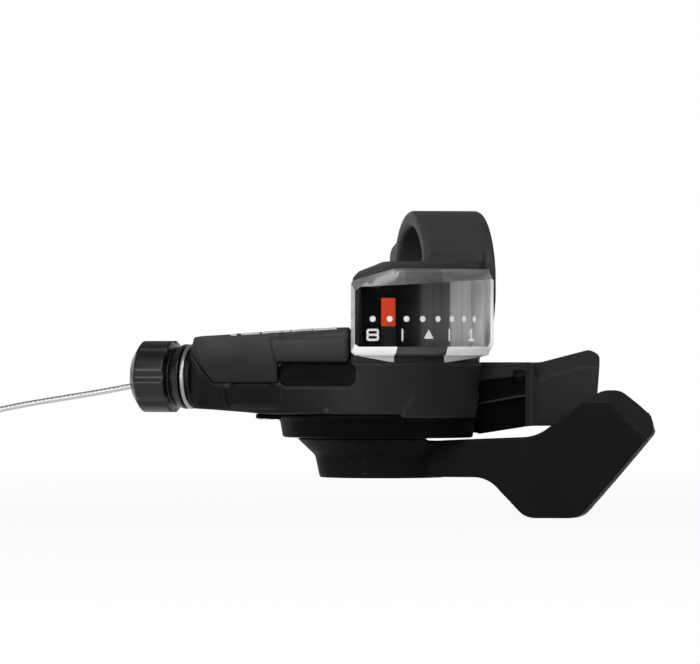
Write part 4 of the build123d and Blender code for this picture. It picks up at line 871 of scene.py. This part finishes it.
def make_wire():
    """Free wire and its put-away coil as one smooth spline."""
    points = [at_cable(WIRE_START + along, 0, CABLE_Z - drop) for along, drop in WIRE_ROUTE]
    cells = coil_cells()
    points += coil_points(cells, points[-1])
    curve = bpy.data.curves.new("free_wire", "CURVE")
    curve.dimensions = "3D"
    spline = curve.splines.new("NURBS")
    spline.points.add(len(points) - 1)
    for control, spot in zip(spline.points, points):
        control.co = (*spot, 1.0)
    spline.order_u = 3
    spline.use_endpoint_u = True
    curve.bevel_depth = WIRE_DIAMETER / 2
    curve.bevel_resolution = 2
    curve.resolution_u = 4
    curve.use_fill_caps = True
    curve.materials.append(MATERIALS["wire_steel"])
    wire = link(bpy.data.objects.new("free_wire", curve))
    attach(wire, "housing")
    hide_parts("inner_wire", "wire_coil")


# Window
def lens_finish(face, foot):
    """Finish of one face of the window: clear front and back, and bevels in painted light, pale, bright, grey and
    dim by the way they face, darker over the notches.
    """
    centre = face.calc_center_median()
    reaches = [reach_of(vert.co) for vert in face.verts]
    spot = display_place(centre)
    if centre.z < foot:
        return PALE
    if max(reaches) - min(reaches) < LENS_EVEN:
        return CLEAR
    if centre.z > LENS_EDGE_ENDS[0] and face.normal.z > LENS_UPWARD:
        return DIM if within(spot, LENS_TOP_NOTCH) else GREY
    if face.normal.z < LENS_DOWNWARD:
        return DARK if within(spot, LENS_NOTCH) else BRIGHT
    return BRIGHT if spot > 0 else PALE


def deepen_bevels(shape):
    """Trim the window's front to straight upper and lower edges, so that the bevels there are deeper."""
    front = [vert for vert in shape.verts if abs(reach_of(vert.co) - LENS_RADIUS) < TOUCH]
    spots = [display_place(vert.co) for vert in front]
    left, right = min(spots), max(spots)
    for vert, spot in zip(front, spots):
        share = (spot - left) / (right - left)
        line = LENS_EDGE_ENDS[0] + (LENS_EDGE_ENDS[1] - LENS_EDGE_ENDS[0]) * share
        vert.co.z = max(min(vert.co.z, line), LENS_EDGE_LOW)


def split_bevels(shape, foot):
    """Cut the window's bevels at the ends of the notches."""
    for spot in LENS_NOTCH + LENS_TOP_NOTCH:
        bevels = [face for face in shape.faces if lens_finish(face, foot) != CLEAR]
        edges = {edge for face in bevels for edge in face.edges}
        verts = {vert for face in bevels for vert in face.verts}
        geometry = list(verts) + list(edges) + bevels
        cut = PIVOT + DISPLAY_ACROSS * spot
        bmesh.ops.bisect_plane(shape, geom=geometry, plane_co=cut, plane_no=DISPLAY_ACROSS)


def swell_end(shape):
    """Let the window's right end stand further out from the pivot."""
    for vert in shape.verts:
        away = Vector((vert.co.x - PIVOT.x, vert.co.y - PIVOT.y, 0))
        share = ease((away.dot(DISPLAY_ACROSS) - LENS_SWELL_START) / LENS_SWELL_RUN)
        vert.co += away.normalized() * (LENS_SWELL * share)


def make_lens():
    """Window of the display, with painted light on each of its bevels, and slightly broken edges that carry a
    painted highlight.
    """
    shape = node_shape("display_lens")
    deepen_bevels(shape)
    bmesh.ops.dissolve_limit(shape, angle_limit=LENS_FLAT, verts=shape.verts, edges=shape.edges)
    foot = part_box("display_lens")[0].z + LENS_TAB
    split_bevels(shape, foot)
    for face in shape.faces:
        face.material_index = lens_finish(face, foot)
    swell_end(shape)
    piece = new_piece("window", shape, *LENS_CLEAR_AND_PAINTED_LIGHT)
    bevel = piece.modifiers.new("edges", "BEVEL")
    bevel.width = LENS_EDGE_BREAK
    bevel.segments = LENS_EDGE_SEGMENTS
    bevel.limit_method = "ANGLE"
    bevel.angle_limit = LENS_CREASE
    # The broken edges take the bright bevel tone: a painted highlight
    bevel.material = BRIGHT
    mesh = settle(piece)
    mesh.shade_smooth()
    mesh.set_sharp_from_angle(angle=LENS_CREASE)
    stand_for(piece, "display_lens")


# Dial print
def ink(name, outlines, angle, height):
    """Thin curved plate of ink on the inner face of the window, from flat outlines."""
    shape = bmesh.new()
    for outline in outlines:
        shape.faces.new([shape.verts.new((x, y, 0)) for x, y in outline])
    bmesh.ops.solidify(shape, geom=shape.faces[:], thickness=PRINT_THICKNESS)
    for vert in shape.verts:
        turn = math.radians(angle) + vert.co.x / PRINT_RADIUS
        vert.co = on_display(turn, height + vert.co.y, PRINT_RADIUS + vert.co.z)
    bmesh.ops.recalc_face_normals(shape, faces=shape.faces)
    piece = new_piece(name, shape, PRINT_WHITE)
    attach(piece, "housing")


def circle(radius):
    """Outline of a dot."""
    turns = [2 * math.pi * corner / DOT_CORNERS for corner in range(DOT_CORNERS)]
    return [(radius * math.cos(turn), radius * math.sin(turn)) for turn in turns]


def rectangle(left, low, right, high):
    """Outline of a box."""
    return [(left, low), (right, low), (right, high), (left, high)]


def eight():
    """Squarish figure: two upright sides with cut corners, and three bars between them."""
    side, top, stroke = EIGHT_WIDE / 2, FIGURE_TALL / 2, FIGURE_STROKE
    cut = stroke * EIGHT_CUT
    inner = side - stroke
    right = [
        (inner, -top),
        (side - cut, -top),
        (side, cut - top),
        (side, -cut / 2),
        (side - cut / 2, 0),
        (side, cut / 2),
        (side, top - cut),
        (side - cut, top),
        (inner, top),
    ]
    left = [(-x, y) for x, y in reversed(right)]
    bars = [rectangle(-inner, low, inner, low + stroke) for low in (-top, -stroke / 2, top - stroke)]
    return [left, right] + bars


def one():
    """Figure with a flag at its top and a flat foot."""
    half, top, stroke = ONE_WIDE / 2, FIGURE_TALL / 2, FIGURE_STROKE
    half_stem = stroke * ONE_STEM
    stem = rectangle(-half_stem, stroke - top, half_stem, top)
    foot = rectangle(-half, -top, half, stroke - top)
    flag = [
        (-half_stem, top - stroke),
        (-half_stem, top),
        (-half, top - ONE_FLAG_HIGH * stroke),
        (-half, top - ONE_FLAG_LOW * stroke),
    ]
    return [stem, foot, flag]


def make_print():
    """Dial print: a dot for each gear, the end figures, two bars and a triangle."""
    for gear in range(GEARS):
        ink(f"gear_dot_{GEARS - gear}", [circle(DOT_RADIUS)], DOT_ANGLE + gear * DOT_STEP, DOT_HEIGHT)
    ink("figure_8", eight(), DOT_ANGLE, FIGURE_HEIGHT)
    ink("figure_1", one(), ONE_ANGLE, FIGURE_HEIGHT)
    bar = rectangle(-BAR_WIDE / 2, -FIGURE_TALL / 2, BAR_WIDE / 2, FIGURE_TALL / 2)
    for side, angle in zip(("left", "right"), BAR_ANGLES):
        ink(f"bar_{side}", [bar], angle, FIGURE_HEIGHT)
    half, top = TRIANGLE_WIDE / 2, TRIANGLE_TALL / 2
    triangle = [(-half, -top), (half, -top), (0, top)]
    ink("triangle", [triangle], TRIANGLE_ANGLE, FIGURE_HEIGHT + TRIANGLE_RISE)


# Stripe
def stripe_rows(tree, along):
    """Points on the cover round its front top edge at one place: up its front, and back over its top."""
    front = arm_front(along)
    tops = [tree.ray_cast(at_cable(along, front - inset, 0), -UP)[0] for inset in STRIPE_SEARCH]
    peak = max(top.z for top in tops)
    rows = []
    for drop in STRIPE_DROPS:
        ahead = at_cable(along, front + STRIPE_AHEAD, peak - drop)
        hit, normal = tree.ray_cast(ahead, -RIDER_SIDE)[:2]
        rows.append(hit + normal * STRIPE_LIFT)
    edge = cable_place(rows[-1])[1]
    for inset in STRIPE_INSETS:
        hit, normal = tree.ray_cast(at_cable(along, edge - inset, 0), -UP)[:2]
        rows.append(hit + normal * STRIPE_LIFT)
    return rows


def make_stripe(cover):
    """Plain pale dashes that lie on the cover's front top edge."""
    mesh = cover.data
    corners = [vert.co for vert in mesh.vertices]
    tree = BVHTree.FromPolygons(corners, [tuple(face.vertices) for face in mesh.polygons])
    for number, (start, end) in enumerate(STRIPE_DASHES, 1):
        shape = bmesh.new()
        count = round((end - start) / STRIPE_STEP)
        columns = []
        for step in range(count + 1):
            along = start + (end - start) * step / count
            columns.append([shape.verts.new(point) for point in stripe_rows(tree, along)])
        for first, second in zip(columns, columns[1:]):
            for row in range(len(first) - 1):
                shape.faces.new((first[row], second[row], second[row + 1], first[row + 1]))
        piece = new_piece(f"stripe_{number}", shape, STRIPE_PALE)
        thick = piece.modifiers.new("ink", "SOLIDIFY")
        thick.thickness = STRIPE_LIFT
        thick.offset = 0.0
        settle(piece).shade_smooth()
        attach(piece, "housing")


# Stage
def stage_material(name, near_share):
    """Pale paper: white to the camera, glossy and clear surfaces, and plain diffuse grey to the rest."""
    graph = Graph(name)
    diffuse = graph.node("ShaderNodeBsdfDiffuse")
    diffuse.inputs["Color"].default_value = (*grey(PAPER_GREY), 1)
    white = graph.node("ShaderNodeEmission")
    white.inputs["Strength"].default_value = 1.0
    reach = graph.node("ShaderNodeVectorMath", operation="LENGTH")
    graph.wire(graph.place, reach.inputs[0])
    level = graph.spread(reach.outputs["Value"], near_share, 1.0, *PAPER_SPAN)
    path = graph.node("ShaderNodeLightPath")
    seen = path.outputs["Is Camera Ray"]
    for kind in ("Is Glossy Ray", "Is Transmission Ray"):
        seen = graph.join("MAXIMUM", seen, path.outputs[kind])
    mix = graph.node("ShaderNodeMixShader")
    graph.wire(graph.join("MULTIPLY", seen, level), mix.inputs["Fac"])
    graph.wire(diffuse.outputs["BSDF"], mix.inputs[1])
    graph.wire(white.outputs["Emission"], mix.inputs[2])
    graph.wire(mix.outputs["Shader"], graph.tree.nodes["Material Output"].inputs["Surface"])
    graph.tree.nodes.remove(graph.shader)
    return graph.material


def make_stage():
    """Pale floor and a round backdrop behind the part."""
    floor_z = CAD_BOX[0].z - FLOOR_GAP
    shape = bmesh.new()
    lower = Matrix.Translation((0, 0, floor_z))
    bmesh.ops.create_grid(shape, x_segments=1, y_segments=1, size=FLOOR_HALF, matrix=lower)
    new_piece("floor", shape, stage_material("floor_paper", FLOOR_SHARE))
    shape = bmesh.new()
    ring = []
    for step in range(BACKDROP_STEPS + 1):
        angle = BACKDROP_START + BACKDROP_SWEEP * step / BACKDROP_STEPS - VIEW_YAW
        way = Vector((math.cos(angle), math.sin(angle), 0))
        foot = way * BACKDROP_RADIUS + UP * (floor_z - BACKDROP_SUNK)
        ring.append((shape.verts.new(foot), shape.verts.new(foot + UP * BACKDROP_TALL)))
    for (low, high), (next_low, next_high) in zip(ring, ring[1:]):
        shape.faces.new((low, next_low, next_high, high))
    new_piece("backdrop", shape, stage_material("backdrop_paper", BACKDROP_SHARE))


# Light
def make_lamp(name, spot, size, power):
    """Soft square lamp that looks at the part."""
    data = bpy.data.lights.new(name, "AREA")
    data.size = size
    data.energy = power
    lamp = link(bpy.data.objects.new(name, data))
    lamp.location = spot
    lamp.rotation_mode = "QUATERNION"
    lamp.rotation_quaternion = (VIEW_AIM - Vector(spot)).to_track_quat("-Z", "Y")


def make_light():
    """Soft room light, brighter from above, and the lamps."""
    world = bpy.data.worlds.new("studio")
    bpy.context.scene.world = world
    world.use_nodes = True
    tree = world.node_tree
    place = tree.nodes.new("ShaderNodeTexCoord")
    apart = tree.nodes.new("ShaderNodeSeparateXYZ")
    level = tree.nodes.new("ShaderNodeMapRange")
    for key, value in zip(("From Min", "From Max", "To Min", "To Max"), ROOM_SPAN + ROOM_STRENGTHS):
        level.inputs[key].default_value = value
    tree.links.new(place.outputs["Generated"], apart.inputs["Vector"])
    tree.links.new(apart.outputs["Z"], level.inputs["Value"])
    background = tree.nodes["Background"]
    background.inputs["Color"].default_value = (1, 1, 1, 1)
    tree.links.new(level.outputs["Result"], background.inputs["Strength"])
    for name, spot, size, power in LAMPS:
        make_lamp(name, spot, size, power)


# Camera
def make_camera():
    """Camera at the photograph's view."""
    data = bpy.data.cameras.new("camera")
    data.sensor_width = SENSOR
    data.lens = SENSOR * VIEW_DISTANCE / VIEW_WIDTH
    data.clip_start = CLIP_NEAR
    data.clip_end = CLIP_FAR
    camera = link(bpy.data.objects.new("camera", data))
    forward = Vector((math.sin(VIEW_YAW), math.cos(VIEW_YAW), 0))
    camera.location = VIEW_AIM - forward * VIEW_DISTANCE
    camera.rotation_euler = (math.radians(90), 0, -VIEW_YAW)
    bpy.context.scene.camera = camera


# Making of the scene
bpy.context.scene.view_settings.view_transform = "Standard"
make_camera()
make_wire()
make_stage()
make_light()
dress_nodes()
# Zones of the body: painted shade in the notch, and the dial's painted reflection on the wall behind the window's
# end
body_zones = [(NOTCH_PAINTED_SHADE, in_notch), (MATERIALS["display_plastic"], in_display_end)]
rounded("main_housing", "body_moulding", voxel=0.37 * MM, passes=3,
        prepare=lower_lip, zones=body_zones, bend=round_arm)
arm_cap = rounded("top_cover", "arm_cap", voxel=0.26 * MM, passes=3, bend=shape_cap)
rounded("bottom_cover", "cup_moulding", voxel=0.34 * MM, passes=3)
rounded("pull_lever", "pull_lever_moulding", voxel=0.3 * MM, passes=3,
        zones=[(PADDLE_BEVEL_PAINTED_LIGHT, in_paddle_bevel)])
rounded("release_lever", "release_lever_moulding", voxel=0.24 * MM, passes=4,
        prepare=add_web, zones=[(RELEASE_PAINTED_SHADE, in_release_recess)])
rounded("adjuster_knob", "knob_moulding", voxel=0.2 * MM, passes=8, bend=shape_knob)
make_lens()
make_print()
make_stripe(arm_cap)
